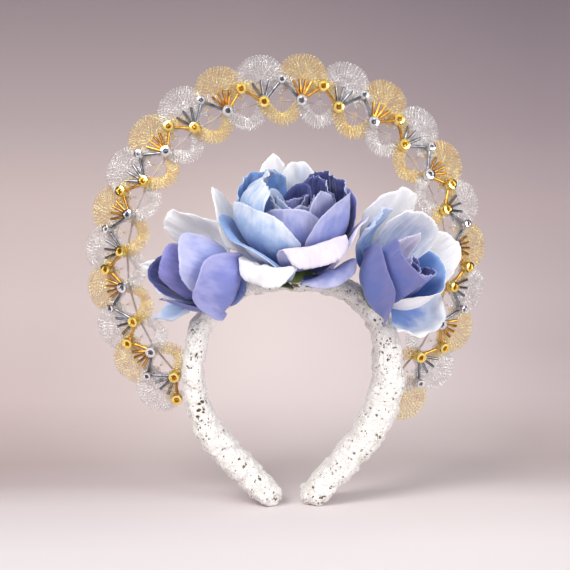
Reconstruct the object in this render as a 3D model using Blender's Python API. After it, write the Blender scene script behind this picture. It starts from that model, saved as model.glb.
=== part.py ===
"""Halo crown: a padded headband wound with lace, three fabric roses on it, and a beaded net halo behind.

Metres, +Z up. The crown faces -Y and stands on the two feet of its band. The origin is on the floor,
below the middle of the crown's box.
"""

import math

import bmesh
import bpy
from mathutils import Vector

MM = 0.001

# Headband: an arch whose middle line runs through these stations, from the left foot to the right one.
BAND_Y = 19.04 * MM
BAND_DEPTH = 28.0 * MM
BAND_SQUARENESS = 2.8
BAND_STATIONS = 36
BAND_SIDES = 12
WIND_PITCH = 23 * MM
WIND_RIDGE = 0.07
END_ROUNDING = (
    # mm past the last station, share of the section there
    (0.0, 1.0),
    (4.5, 0.90),
    (7.5, 0.66),
    (9.0, 0.30),
)
BAND_ROWS = (
    # name, x, z, thickness across the arch, all in mm
    ("left_foot", -16.0, 7.2, 17.0),
    ("left_shin", -37.5, 29.5, 18.5),
    ("left_calf", -53.5, 48.0, 18.0),
    ("left_side_low", -62.5, 68.5, 15.0),
    ("left_side", -65.5, 91.0, 14.0),
    ("left_shoulder", -59.5, 121.0, 14.0),
    ("left_crown", -37.0, 143.5, 13.0),
    ("top", 0.0, 150.0, 12.0),
    ("right_crown", 37.0, 143.5, 13.5),
    ("right_shoulder", 59.5, 121.0, 15.5),
    ("right_side", 65.5, 91.0, 20.0),
    ("right_side_low", 62.0, 68.5, 22.0),
    ("right_calf", 52.0, 47.5, 21.0),
    ("right_shin", 36.5, 29.0, 19.0),
    ("right_foot", 16.0, 7.2, 17.0),
)

# Halo: a strip bent round a circle. Its outer edge leans back most at the two sides.
HALO_CENTRE_Z = 159.8 * MM
HALO_Y = 38.04 * MM
BEAD_LINE_RADIUS = 111.5 * MM
LEAN_MOST = math.radians(30)
ENDS_INWARD = 14 * MM
UNITS = 22
UNIT_ANGLE = math.radians(13)
MIDDLE_UNIT = (UNITS - 1) / 2
HALO_TURN = math.radians(-2.4)
HALO_END_STRETCH = math.radians(5.0)
FIRST_PLACE = -0.5
LAST_PLACE = UNITS - 1.0

# Net tapes: two flat tapes that cross at each base bead, and a fan behind each crossing.
TAPE_WIDTH = 8.0 * MM
TAPE_THICK = 1.0 * MM
TAPE_LIFT = 0.85 * MM
LIFT_START = 0.25
LIFT_SPAN = 0.2
TAPE_STEPS = 4
OUTER_LOBE = 12.0 * MM
INNER_LOBE = 12.0 * MM
FAN_RADIUS = 17.0 * MM
FAN_CENTRE = 14.8 * MM
FAN_THICK = 0.6 * MM
FAN_COLUMNS = 5
SEAM_GAP = 0.3 * MM

# Beads, sewn on the front of the tapes with a small gap.
BEAD_GAP = 0.3 * MM
BEAD_SIDES = 8
BEAD_PROFILE = ((-0.5, 0.6), (0.0, 1.0), (0.5, 0.6))
BASE_BEAD = (4.0 * MM, 6.0 * MM)
GOLD_PEAK_BEAD = (3.9 * MM, 6.0 * MM)
SILVER_PEAK_BEAD = (3.1 * MM, 5.0 * MM)
GOLD_PEAK_REACH = 11.4 * MM
SILVER_PEAK_REACH = 14.0 * MM
BUGLE_RADIUS = 0.85 * MM
BUGLE_SIDES = 5
LINK_SINK = 0.45

# Support wire, hidden behind the bead line. Its two ends turn forward on to the back of the band.
WIRE_RADIUS = 0.8 * MM
WIRE_GAP = 0.3 * MM
WIRE_END_ANGLE = math.radians(145)
WIRE_STEP = math.radians(12)
WIRE_ENDS = (
    # mm inwards, share of the way from the halo forward to the band's back, mm down
    (1.5, 0.1, 4.0),
    (3.0, 0.5, 8.0),
    (5.0, 1.0, 12.0),
    (10.0, 1.0, 19.0),
)

# Roses sit on the band with this gap.
SEAT_GAP = 0.3 * MM

# Petals: a piece of a turned bowl, 1 mm thick. Heights run along the rose's axis.
PETAL_THICK = 1.0 * MM
PETAL_ACROSS = 4
PETAL_ALONG = 4
PETAL_CROWDING = 1.2
PETAL_BASE_WIDTH = 0.32
PETAL_WIDEST = 0.7
NORMAL_STEP = 0.02
PETAL_CORNER = 3.0
HEART_SIDES = 8

# Each rose: where its base is, where its axis points, and the shapes that its petals follow.
ROSES = {
    "centre": {
        "base": (1.0, -5.0, 159.6),
        "axis": (-0.06, -0.42, 0.90),
        "heart": ((11, -9), (14.2, -3.4), (14.1, -0.4), (7.7, 7.2), (7, 14), (9, 26), (8, 38), (1, 46)),
        "profiles": {
            "inner": ((8.9, 7.4), (13.5, 16), (16.5, 31), (13, 54)),
            "front": ((9.8, 6.0), (18, 14), (28, 32), (23.5, 55)),
            "high": ((9.8, 6.0), (17.5, 14.5), (25, 32), (22.5, 62)),
            "cup": ((9.8, 6.0), (18, 14), (28.5, 29), (33, 44), (28, 57), (17, 65)),
            "arc": ((9.8, 6.0), (18, 14), (26, 31), (27.5, 57)),
            "wall": ((10.4, 4.9), (20.5, 13.5), (32, 29), (36.5, 44), (35, 58)),
            "mid": ((11.5, 4.0), (22, 12.5), (34.5, 28), (37, 44), (35.5, 57)),
            "lean": ((11.5, 4.0), (22, 12.5), (34, 28), (38, 43), (33.5, 56)),
            "side": ((12.3, 3.0), (25.5, 10), (38.5, 25), (42, 50)),
            "collar": ((12.3, 3.0), (25, 10.5), (37, 23.5), (41, 33.5), (46, 37), (52, 25)),
            "bowl": ((13.2, 2.0), (26, 10), (36, 23), (43, 34), (48, 43)),
            "back": ((12.3, 3.0), (29, 10), (40, 30), (40.5, 59)),
            "spread": ((13.6, 0.9), (28.5, 8), (41, 25), (51.5, 56)),
            "wing": ((13.9, 1.2), (28, 8), (39.5, 24), (48, 44)),
            "tall": ((13.9, 1.2), (34, 6), (46, 28), (45.5, 63)),
            "apron": ((14.6, -0.6), (27, 4.5), (38, 17.5), (45.5, 23), (50, 19), (52.5, 10)),
            "under": ((14.6, -0.6), (27, 3), (38.5, 11.5), (46, 13.5), (51, 6.5)),
            "leaf": ((15.0, -3.0), (24, -2.0), (33, 2.5), (41, 8.0)),
        },
    },
    "left": {
        "base": (-40.0, -13.0, 146.5),
        "axis": (-0.82, -0.48, 0.28),
        "heart": ((6, -13), (12.4, -0.3), (6.8, 6.3), (7, 16), (10, 30), (9, 48), (1, 56)),
        "profiles": {
            "inner": ((7.9, 7.0), (13.5, 16), (17, 32), (14.5, 66)),
            "core": ((7.9, 7.0), (13, 16), (15.5, 30), (12, 58)),
            "mid": ((9.0, 5.0), (18, 12), (24.5, 26), (23.5, 59)),
            "half": ((9.0, 5.0), (17, 12.5), (22, 26), (19, 50)),
            "outer": ((10.2, 3.6), (20, 7.5), (27.2, 18), (27.5, 48)),
            "top": ((11.6, 2.0), (26, 7), (38, 20), (42, 48)),
            "side": ((10.4, 3.4), (21, 9), (30, 20), (33, 40)),
            "low": ((8.9, 5.8), (15.6, 13.8), (25, 24), (45, 36)),
        },
    },
    "right": {
        "base": (58.0, -12.0, 141.5),
        "axis": (0.50, -0.72, 0.48),
        "heart": ((8, -14), (12.9, -0.4), (6.7, 6.6), (6, 14), (8, 26), (7, 40), (1, 46)),
        "profiles": {
            "inner": ((7.6, 7.0), (10.5, 15), (12, 28), (9, 48)),
            "peak": ((7.6, 7.0), (13, 15), (18, 30), (19, 51)),
            "mid": ((8.9, 5.4), (18, 12), (24.5, 26), (23.5, 56)),
            "cup": ((8.9, 5.4), (17, 11.5), (21.5, 24), (20, 44)),
            "outer": ((10.1, 4.0), (21, 8), (29, 18), (28.5, 48)),
            "back": ((10.9, 3.2), (24, 9), (33, 24), (34.5, 52)),
            "blue": ((11.4, 2.6), (26, 8), (37, 24), (41, 54)),
            "side": ((11.9, 2.1), (28, 7), (38, 20), (40.5, 46)),
            "low": ((11.9, 2.1), (25, 6), (34, 13), (38, 23)),
            "top": ((12.7, 1.2), (31, 6), (44.5, 24), (49, 55)),
        },
    },
}
PETALS = (
    # rose, name, profile, azimuth, half span, share of reach, drop at its left and right,
    # tip, spiral in mm, tilt in mm, finish
    ("centre", "inner_left", "inner", -85, 80, 1.00, 0.16, 0.16, 0.05, 1.4, 0, "petal_pale"),
    ("centre", "inner_right", "inner", 85, 80, 0.94, 0.16, 0.16, 0.05, 1.4, 0, "petal_violet"),
    ("centre", "inner_back", "arc", 128, 40, 0.97, 0.16, 0.16, 0.02, 1.4, 0, "petal_violet"),
    ("centre", "cup_front", "front", -8, 52, 1.00, 0.20, 0.28, 0.02, 1.6, 0, "petal_violet"),
    ("centre", "cup_right", "high", 48, 42, 1.00, 0.30, 0.20, 0.08, 1.6, 0, "petal_violet"),
    ("centre", "cup_left", "cup", -97, 59, 1.00, 0.08, 0.10, 0.00, 1.4, 2, "petal_pale"),
    ("centre", "cup_back_right", "wall", 121, 42, 0.97, 0.22, 0.20, 0.02, 1.4, 0, "petal_blue"),
    ("centre", "cup_back_left", "wall", -145, 35, 1.00, 0.16, 0.22, 0.02, 1.4, 0, "petal_pale"),
    ("centre", "mid_left", "lean", -46, 49, 1.00, 0.16, 0.34, 0.02, 1.2, 0, "petal_pale"),
    ("centre", "mid_right", "mid", 54, 46, 1.00, 0.34, 0.16, 0.03, 1.2, 0, "petal_violet"),
    ("centre", "mid_side", "side", 108, 32, 0.96, 0.24, 0.24, 0.03, 1.2, 0, "petal_violet"),
    ("centre", "outer_left_front", "bowl", -60, 46, 1.00, 0.20, 0.42, 0.02, 1.4, -4, "petal_blue"),
    ("centre", "outer_front", "collar", 11, 31, 1.00, 0.46, 0.10, 0.00, 1.2, 2, "petal_violet"),
    ("centre", "outer_right", "wing", 61, 26, 1.00, 0.34, 0.16, 0.08, 1.2, 6, "petal_violet"),
    ("centre", "outer_left", "spread", -112, 23, 1.00, 0.22, 0.22, 0.16, 1.2, 0, "petal_white"),
    ("centre", "outer_back", "tall", -172, 24, 1.00, 0.26, 0.26, 0.14, 1.2, 0, "petal_white"),
    ("centre", "outer_back_right", "back", 167, 22, 1.00, 0.22, 0.22, 0.04, 1.2, 0, "petal_pale"),
    ("centre", "under_left", "apron", -29, 27, 1.00, 0.34, 0.34, 0.02, 0.8, 0, "petal_white"),
    ("centre", "under_right", "under", 30, 28, 0.98, 0.26, 0.20, 0.02, 0.8, 2, "petal_violet"),
    ("centre", "leaf_left", "leaf", -31, 26, 0.90, 0.10, 0.10, 0.30, 0.4, 0, "leaf"),
    ("centre", "leaf_right", "leaf", 34, 22, 0.84, 0.10, 0.10, 0.30, 0.4, 0, "leaf"),
    ("left", "inner_top", "inner", 12, 72, 1.00, 0.26, 0.16, 0.03, 1.3, 0, "petal_violet"),
    ("left", "inner_low", "core", -150, 74, 1.00, 0.16, 0.16, 0.05, 1.3, 0, "petal_violet"),
    ("left", "mid_top", "mid", 36, 56, 1.00, 0.16, 0.30, 0.02, 1.3, 0, "petal_violet"),
    ("left", "mid_low", "half", -80, 31, 1.00, 0.24, 0.20, 0.02, 1.3, 0, "petal_violet"),
    ("left", "outer_front", "outer", 0, 58, 1.00, 0.62, 0.44, 0.03, 1.3, 0, "petal_violet"),
    ("left", "pale_top", "top", 136, 32, 1.00, 0.24, 0.50, 0.06, 1.3, 0, "petal_white"),
    ("left", "pale_back", "top", -172, 13, 1.02, 0.22, 0.22, 0.10, 1.3, 0, "petal_white"),
    ("left", "pale_side", "side", -155, 13, 1.00, 0.24, 0.20, 0.04, 1.3, 0, "petal_pale"),
    ("left", "pale_low", "low", -126, 16, 1.00, 0.24, 0.24, 0.12, 1.3, 0, "petal_pale"),
    ("right", "inner_right", "inner", 60, 96, 1.00, 0.16, 0.16, 0.05, 1.3, 0, "petal_violet"),
    ("right", "inner_left", "peak", -133, 36, 1.00, 0.50, 0.12, 0.14, 1.3, 0, "petal_violet"),
    ("right", "mid_left", "mid", -40, 52, 1.00, 0.08, 0.02, 0.00, 1.3, 7, "petal_blue"),
    ("right", "mid_right", "cup", 98, 82, 1.00, 0.28, 0.12, 0.00, 1.3, 0, "petal_white"),
    ("right", "outer_front", "outer", -32, 63, 1.00, 0.34, 0.60, 0.02, 1.3, 0, "petal_violet"),
    ("right", "outer_right", "side", 165, 28, 1.00, 0.30, 0.20, 0.03, 1.3, 0, "petal_white"),
    ("right", "outer_back", "back", -148, 35, 1.00, 0.24, 0.20, 0.02, 1.3, 0, "petal_white"),
    ("right", "outer_left", "blue", -97, 16, 1.00, 0.20, 0.20, 0.08, 1.3, 0, "petal_pale"),
    ("right", "outer_top", "top", -131, 23, 1.00, 0.22, 0.22, 0.06, 1.3, 0, "petal_white"),
    ("right", "open_low", "low", 86, 50, 1.00, 0.20, 0.20, 0.03, 1.3, 0, "petal_white"),
)

FINISHES = {
    # name: colour, roughness, metallic
    "lace": ((0.80, 0.77, 0.74), 0.85, 0.0),
    "gold_net": ((0.83, 0.62, 0.25), 0.35, 1.0),
    "silver_net": ((0.80, 0.79, 0.78), 0.35, 1.0),
    "beads": ((0.80, 0.66, 0.38), 0.22, 1.0),
    "wire": ((0.75, 0.73, 0.70), 0.40, 1.0),
    "petal_pale": ((0.55, 0.70, 0.88), 0.70, 0.0),
    "petal_blue": ((0.22, 0.33, 0.66), 0.70, 0.0),
    "petal_violet": ((0.40, 0.40, 0.75), 0.70, 0.0),
    "petal_white": ((0.86, 0.89, 0.95), 0.70, 0.0),
    "leaf": ((0.20, 0.24, 0.07), 0.60, 0.0),
}


def finish(name):
    """The material with this name, made once."""
    found = bpy.data.materials.get(name)
    if found:
        return found
    colour, roughness, metallic = FINISHES[name]
    material = bpy.data.materials.new(name)
    material.use_nodes = True
    shader = material.node_tree.nodes["Principled BSDF"]
    shader.inputs["Base Color"].default_value = (*colour, 1.0)
    shader.inputs["Roughness"].default_value = roughness
    shader.inputs["Metallic"].default_value = metallic
    material.diffuse_color = (*colour, 1.0)
    return material


def solid(name, points, faces, finish_name, shown=True):
    """A mesh object from points and faces, with its faces turned outwards."""
    mesh = bpy.data.meshes.new(name)
    mesh.from_pydata([tuple(point) for point in points], [], faces)
    shape = bmesh.new()
    shape.from_mesh(mesh)
    bmesh.ops.recalc_face_normals(shape, faces=shape.faces)
    shape.to_mesh(mesh)
    shape.free()
    mesh.materials.append(finish(finish_name))
    mesh.shade_smooth()
    mesh.set_sharp_from_angle(angle=math.radians(40))
    made = bpy.data.objects.new(name, mesh)
    bpy.context.scene.collection.objects.link(made)
    made.hide_render = not shown
    if not shown:
        made.display_type = "WIRE"
    return made


def boolean(target, operation, other):
    """Joins another object to the target, or cuts it away, then removes that other object."""
    step = target.modifiers.new("boolean", "BOOLEAN")
    step.operation = operation
    step.solver = "EXACT"
    step.use_self = operation == "UNION"
    step.object = other
    bpy.context.view_layer.update()
    graph = bpy.context.evaluated_depsgraph_get()
    result = bpy.data.meshes.new_from_object(target.evaluated_get(graph))
    target.modifiers.clear()
    target.data = result
    bpy.data.objects.remove(other)
    return target


def curve_through(rows, place):
    """A point on the smooth curve through rows of numbers, at place from 0 to 1."""
    last = len(rows) - 1
    along = min(max(place, 0.0), 1.0) * last
    index = min(int(along), last - 1)
    part = along - index
    before = rows[max(index - 1, 0)]
    start = rows[index]
    end = rows[index + 1]
    after = rows[min(index + 2, last)]
    place = []
    for a, b, c, d in zip(before, start, end, after):
        slope, bend, twist = c - a, 2 * a - 5 * b + 4 * c - d, 3 * b - a - 3 * c + d
        place.append(0.5 * (2 * b + slope * part + bend * part**2 + twist * part**3))
    return tuple(place)


def tube(rings):
    """Points and faces of a tube through rings of equal count, capped at both ends."""
    count = len(rings[0])
    points = [point for ring in rings for point in ring]
    faces = []
    for row in range(len(rings) - 1):
        low, high = row * count, (row + 1) * count
        for side in range(count):
            beside = (side + 1) % count
            faces.append((low + side, low + beside, high + beside, high + side))
    faces.append(tuple(range(count)))
    faces.append(tuple((len(rings) - 1) * count + side for side in range(count)))
    return points, faces


def joined_lists(parts):
    """One list of points and one of faces from several."""
    points, faces = [], []
    for part_points, part_faces in parts:
        first = len(points)
        points += part_points
        faces += [tuple(first + corner for corner in face) for face in part_faces]
    return points, faces


def band_section(centre, inward, thickness, depth, arc, shrink):
    """One ring of the band: a squarish oval, with the ridge of the winding on it."""
    ring = []
    power = 2 / BAND_SQUARENESS
    for side in range(BAND_SIDES):
        angle = math.tau * (side + 0.5) / BAND_SIDES
        across, along = math.cos(angle), math.sin(angle)
        turn = (arc / WIND_PITCH + angle / math.tau) % 1.0
        ridge = 1 + WIND_RIDGE * (turn - 0.5)
        half_thick = 0.5 * thickness * shrink * ridge * math.copysign(abs(across) ** power, across)
        half_deep = 0.5 * depth * shrink * math.copysign(abs(along) ** power, along)
        ring.append(centre + inward * half_thick + Vector((0, half_deep, 0)))
    return ring


def make_headband(name="headband", grown=0.0, shown=True):
    """The band's arch, rounded at its ends and cut flat on the floor. Grown is extra size all round."""
    rows = [(x * MM, z * MM, thick * MM + 2 * grown) for _, x, z, thick in BAND_ROWS]
    depth = BAND_DEPTH + 2 * grown
    stations = [curve_through(rows, step / BAND_STATIONS) for step in range(BAND_STATIONS + 1)]
    middles = [Vector((x, BAND_Y, z)) for x, z, _ in stations]
    rings = []
    arc = 0.0
    for step, (centre, (_, _, thickness)) in enumerate(zip(middles, stations)):
        ahead = middles[min(step + 1, BAND_STATIONS)]
        behind = middles[max(step - 1, 0)]
        along = (ahead - behind).normalized()
        inward = Vector((along.z, 0, -along.x))
        if step:
            arc += (centre - middles[step - 1]).length
        sections = [(0.0, 1.0)]
        if step == 0:
            sections = [(-reach, share) for reach, share in END_ROUNDING[::-1]]
        elif step == BAND_STATIONS:
            sections = END_ROUNDING
        for reach, share in sections:
            rings.append(band_section(centre + along * reach * MM, inward, thickness, depth, arc, share))
    band = solid(name, *tube(rings), "lace", shown)
    shape = bmesh.new()
    shape.from_mesh(band.data)
    geometry = shape.verts[:] + shape.edges[:] + shape.faces[:]
    bmesh.ops.bisect_plane(shape, geom=geometry, plane_co=(0, 0, 0), plane_no=(0, 0, -1), clear_outer=True)
    open_edges = [edge for edge in shape.edges if edge.is_boundary]
    bmesh.ops.holes_fill(shape, edges=open_edges, sides=0)
    bmesh.ops.recalc_face_normals(shape, faces=shape.faces)
    shape.to_mesh(band.data)
    shape.free()
    return band


def unit_angle(unit):
    """The angle of a base bead from the top of the halo, clockwise as the wearer is faced."""
    from_middle = unit - MIDDLE_UNIT
    return from_middle * UNIT_ANGLE + HALO_TURN + HALO_END_STRETCH * (from_middle / MIDDLE_UNIT) ** 2


def halo_point(angle, across, back):
    """A point of the halo: its angle from the top, its distance outwards along the leaning strip from
    the bead line, and its distance behind the strip's middle surface."""
    lean = LEAN_MOST * math.sin(angle) ** 2
    below = max(0.0, abs(angle) - math.pi / 2) / WIRE_END_ANGLE
    outwards = BEAD_LINE_RADIUS - ENDS_INWARD * below + across * math.cos(lean) - back * math.sin(lean)
    return Vector(
        (
            outwards * math.sin(angle),
            HALO_Y + across * math.sin(lean) + back * math.cos(lean),
            HALO_CENTRE_Z + outwards * math.cos(angle),
        )
    )


def smooth_step(value):
    part = min(max(value, 0.0), 1.0)
    return part * part * (3 - 2 * part)


def tape_path(colour):
    """(angle, across, back) along a tape's middle.

    Gold crosses in front at the gold beads, which are the even units, and silver at the odd ones. Between
    an own-coloured fan and the next crossing the tape is on the outer side of the eye.
    """
    front_units = 0 if colour == "gold" else 1
    path = []
    for step in range(round(FIRST_PLACE * TAPE_STEPS), round(LAST_PLACE * TAPE_STEPS) + 1):
        unit, part = divmod(step / TAPE_STEPS, 1)
        lobe = math.sin(math.pi * part)
        if unit % 2 == front_units:
            across = -INNER_LOBE * lobe
            back = TAPE_LIFT * (2 * smooth_step(part) - 1)
        else:
            across = OUTER_LOBE * lobe
            back = TAPE_LIFT * (1 - 2 * smooth_step((part - LIFT_START) / LIFT_SPAN))
        path.append((unit_angle(unit + part), across, back))
    return path


def tape_body(colour):
    """A flat tape swept along its path, square at the ends."""
    path = tape_path(colour)
    rings = []
    for index, (angle, across, back) in enumerate(path):
        ahead = path[min(index + 1, len(path) - 1)]
        behind = path[max(index - 1, 0)]
        run = (ahead[0] - behind[0]) * (BEAD_LINE_RADIUS + across)
        rise = ahead[1] - behind[1]
        length = math.hypot(run, rise)
        side_run, side_rise = -rise / length, run / length
        ring = []
        for half, face in ((1, 1), (1, -1), (-1, -1), (-1, 1)):
            turn = half * side_run * TAPE_WIDTH / 2 / (BEAD_LINE_RADIUS + across)
            reach = half * side_rise * TAPE_WIDTH / 2
            ring.append(halo_point(angle + turn, across + reach, back + face * TAPE_THICK / 2))
        rings.append(ring)
    return tube(rings)


def fan_body(unit):
    """A round fan of net behind a crossing, cut off where the next fan begins."""
    middle = unit_angle(unit)
    reach = BEAD_LINE_RADIUS + FAN_CENTRE
    rings = []
    for column in range(FAN_COLUMNS):
        side = 2 * column / (FAN_COLUMNS - 1) - 1
        sideways = (unit_angle(unit + side / 2) - middle) * reach - side * SEAM_GAP
        rise = math.sqrt(FAN_RADIUS**2 - sideways**2)
        ring = []
        for outwards, face in ((rise, 1), (rise, -1), (-rise, -1), (-rise, 1)):
            back = TAPE_LIFT + face * FAN_THICK / 2
            ring.append(halo_point(middle + sideways / reach, FAN_CENTRE + outwards, back))
        rings.append(ring)
    return tube(rings)


def make_tape(colour):
    tape = solid(colour + "_net_tape", *tape_body(colour), colour + "_net")
    first = 1 if colour == "gold" else 0
    fans = solid(
        colour + "_fans",
        *joined_lists([fan_body(unit) for unit in range(first, UNITS, 2)]),
        colour + "_net",
        shown=False,
    )
    return boolean(tape, "UNION", fans)


def peak_reach(unit):
    """How far out the peak bead after this unit sits, and its size: gold follows silver base beads."""
    if unit % 2 == 0:
        return SILVER_PEAK_REACH, SILVER_PEAK_BEAD
    return GOLD_PEAK_REACH, GOLD_PEAK_BEAD


def bead_back(depth):
    """How far in front of the strip a bead's middle lies."""
    return -(TAPE_LIFT + TAPE_THICK / 2 + BEAD_GAP + depth / 2)


def bead_body(angle, across, size):
    """A flattened round bead, its hole's axis along the strip's normal."""
    radius, depth = size
    back = bead_back(depth)
    rings = []
    for level, share in BEAD_PROFILE:
        ring = []
        for side in range(BEAD_SIDES):
            turn = math.tau * side / BEAD_SIDES
            ring.append(
                halo_point(
                    angle + radius * share * math.sin(turn) / (BEAD_LINE_RADIUS + across),
                    across + radius * share * math.cos(turn),
                    back + level * depth,
                )
            )
        rings.append(ring)
    return tube(rings)


def bugle_body(start, end):
    """A straight bugle bead between two points."""
    along = (end - start).normalized()
    side_axis = along.cross(Vector((0, 1, 0))).normalized()
    other_axis = along.cross(side_axis).normalized()
    rings = []
    for centre in (start, end):
        ring = []
        for side in range(BUGLE_SIDES):
            turn = math.tau * side / BUGLE_SIDES
            ring.append(centre + (side_axis * math.cos(turn) + other_axis * math.sin(turn)) * BUGLE_RADIUS)
        rings.append(ring)
    return tube(rings)


def link_height():
    """How far in front of the strip the links lie: just clear of the tapes."""
    return -(TAPE_LIFT + TAPE_THICK / 2 + BEAD_GAP + BUGLE_RADIUS)


def link_body(start, end):
    """A link between two beads, each given as (angle, across, radius), its ends sunk into both."""
    points = [halo_point(angle, across, link_height()) for angle, across, _ in (start, end)]
    along = (points[1] - points[0]).normalized()
    return bugle_body(points[0] + along * start[2] * LINK_SINK, points[1] - along * end[2] * LINK_SINK)


def make_bead_string(side):
    """Half of the string: the left half ends in the top peak bead, the right half starts beside it.

    The last crossing, behind the right arm of the band, has no room for a bead.
    """
    half = UNITS // 2
    last_unit = UNITS - 2
    units = range(half) if side == "left" else range(half, last_unit + 1)
    beads, bugles = [], []
    for unit in units:
        base = (unit_angle(unit), 0.0, BASE_BEAD[0])
        beads.append(bead_body(base[0], base[1], BASE_BEAD))
        reach, size = peak_reach(unit)
        peak = (unit_angle(unit + 0.5), reach, size[0])
        following = (unit_angle(unit + 1), 0.0, BASE_BEAD[0])
        beads.append(bead_body(peak[0], peak[1], size))
        bugles.append(link_body(base, peak))
        if unit not in (half - 1, last_unit):
            bugles.append(link_body(peak, following))
    if side == "left":
        end_peak = (unit_angle(FIRST_PLACE), GOLD_PEAK_REACH, GOLD_PEAK_BEAD[0])
        beads.append(bead_body(end_peak[0], end_peak[1], GOLD_PEAK_BEAD))
        bugles.append(link_body(end_peak, (unit_angle(0), 0.0, BASE_BEAD[0])))
    else:
        reach, size = peak_reach(half - 1)
        peak_end = halo_point(unit_angle(half - 0.5), reach, link_height())
        base_end = halo_point(unit_angle(half), 0.0, link_height())
        along = (base_end - peak_end).normalized()
        sunk = base_end - along * BASE_BEAD[0] * LINK_SINK
        bugles.append(bugle_body(peak_end + along * (size[0] + BEAD_GAP), sunk))
    string = solid("bead_string_" + side, *joined_lists(beads), "beads")
    links = solid("links_" + side, *joined_lists(bugles), "beads", shown=False)
    return boolean(string, "UNION", links)


def make_wire():
    """A round wire behind the bead line. Each end turns forward to the back of the band."""
    back = TAPE_LIFT + TAPE_THICK / 2 + WIRE_GAP + WIRE_RADIUS
    steps = round(2 * WIRE_END_ANGLE / WIRE_STEP)
    angles = [WIRE_END_ANGLE * (2 * step / steps - 1) for step in range(steps + 1)]
    line = [halo_point(angle, 0.0, back) for angle in angles]
    band_back = BAND_Y + BAND_DEPTH / 2 + WIRE_RADIUS + WIRE_GAP
    ends = []
    for last, side in ((line[0], 1), (line[-1], -1)):
        end = []
        for inward, forward, down in WIRE_ENDS:
            end.append(last + Vector((side * inward * MM, (band_back - last.y) * forward, -down * MM)))
        ends.append(end)
    line = ends[0][::-1] + line + ends[1]
    data = bpy.data.curves.new("halo_wire", "CURVE")
    data.dimensions = "3D"
    data.bevel_depth = WIRE_RADIUS
    data.bevel_resolution = 1
    data.use_fill_caps = True
    spline = data.splines.new("POLY")
    spline.points.add(len(line) - 1)
    for point, place in zip(spline.points, line):
        point.co = (*place, 1.0)
    data.materials.append(finish("wire"))
    made = bpy.data.objects.new("halo_wire", data)
    bpy.context.scene.collection.objects.link(made)
    return made


def rose_axes(rose):
    """A rose's base point, and its front, right and axis directions."""
    axis = Vector(ROSES[rose]["axis"]).normalized()
    to_viewer = Vector((0, -1, 0))
    front = (to_viewer - axis * to_viewer.dot(axis)).normalized()
    right = axis.cross(front)
    x, y, z = ROSES[rose]["base"]
    return Vector((x * MM, BAND_Y + y * MM, z * MM)), front, right, axis


def rose_point(axes, azimuth, radius, height):
    base, front, right, axis = axes
    sideways = front * math.cos(azimuth) + right * math.sin(azimuth)
    return base + sideways * radius + axis * height


def petal_point(axes, row, across, along):
    """A point of a petal's middle surface: across from -1 to 1, along from its base, 0, to its rim, 1."""
    rose, _, profile, azimuth, half_span, share, left, right, tip, spiral, tilt, _ = row
    drop = left if across < 0 else right
    rows = ROSES[rose]["profiles"][profile]
    reach = along * share * (1 - drop * abs(across) ** PETAL_CORNER - tip * (1 - (1 - abs(across)) ** 2))
    radius, height = curve_through(rows, reach)
    opened = math.sin(min(1.0, along / PETAL_WIDEST) * math.pi / 2)
    width = PETAL_BASE_WIDTH + (1 - PETAL_BASE_WIDTH) * opened
    turn = math.radians(azimuth + half_span * across * width)
    radius += spiral * across * width
    return rose_point(axes, turn, radius * MM, (height + tilt * across * along) * MM)


def make_petal(row):
    """A closed shell round a petal's middle surface."""
    axes = rose_axes(row[0])
    fronts, backs = [], []
    for j in range(PETAL_ALONG + 1):
        for i in range(PETAL_ACROSS + 1):
            across, along = 2 * i / PETAL_ACROSS - 1, (j / PETAL_ALONG) ** PETAL_CROWDING
            place = petal_point(axes, row, across, along)
            low, high = max(along - NORMAL_STEP, 0), min(along + NORMAL_STEP, 1)
            left, right = max(across - NORMAL_STEP, -1), min(across + NORMAL_STEP, 1)
            up = petal_point(axes, row, across, high) - petal_point(axes, row, across, low)
            over = petal_point(axes, row, right, along) - petal_point(axes, row, left, along)
            normal = over.cross(up).normalized()
            fronts.append(place + normal * PETAL_THICK / 2)
            backs.append(place - normal * PETAL_THICK / 2)
    points = fronts + backs
    count, wide = len(fronts), PETAL_ACROSS + 1
    faces = []
    for j in range(PETAL_ALONG):
        for i in range(PETAL_ACROSS):
            a = j * wide + i
            faces.append((a, a + 1, a + 1 + wide, a + wide))
            faces.append((count + a, count + a + wide, count + a + 1 + wide, count + a + 1))
    rim = list(range(wide))
    rim += [j * wide + PETAL_ACROSS for j in range(1, PETAL_ALONG + 1)]
    rim += [PETAL_ALONG * wide + i for i in range(PETAL_ACROSS - 1, -1, -1)]
    rim += [j * wide for j in range(PETAL_ALONG - 1, 0, -1)]
    for a, b in zip(rim, rim[1:] + rim[:1]):
        faces.append((b, a, count + a, count + b))
    return solid(row[0] + "_" + row[1], points, faces, row[-1])


def make_heart(rose):
    """The turned core of a rose: the closed bud above, and below it the calyx, cut to sit on the band."""
    axes = rose_axes(rose)
    rings = []
    for radius, height in ROSES[rose]["heart"]:
        rings.append(
            [
                rose_point(axes, math.tau * side / HEART_SIDES, radius * MM, height * MM)
                for side in range(HEART_SIDES)
            ]
        )
    heart = solid(rose + "_heart", *tube(rings), "petal_violet")
    return boolean(heart, "DIFFERENCE", make_headband("band_room", SEAT_GAP, shown=False))


def clear_scene():
    for old in list(bpy.data.objects):
        bpy.data.objects.remove(old)


def main():
    clear_scene()
    make_headband()
    for colour in ("gold", "silver"):
        make_tape(colour)
    for side in ("left", "right"):
        make_bead_string(side)
    make_wire()
    for rose in ROSES:
        make_heart(rose)
    for row in PETALS:
        make_petal(row)


main()
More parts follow.
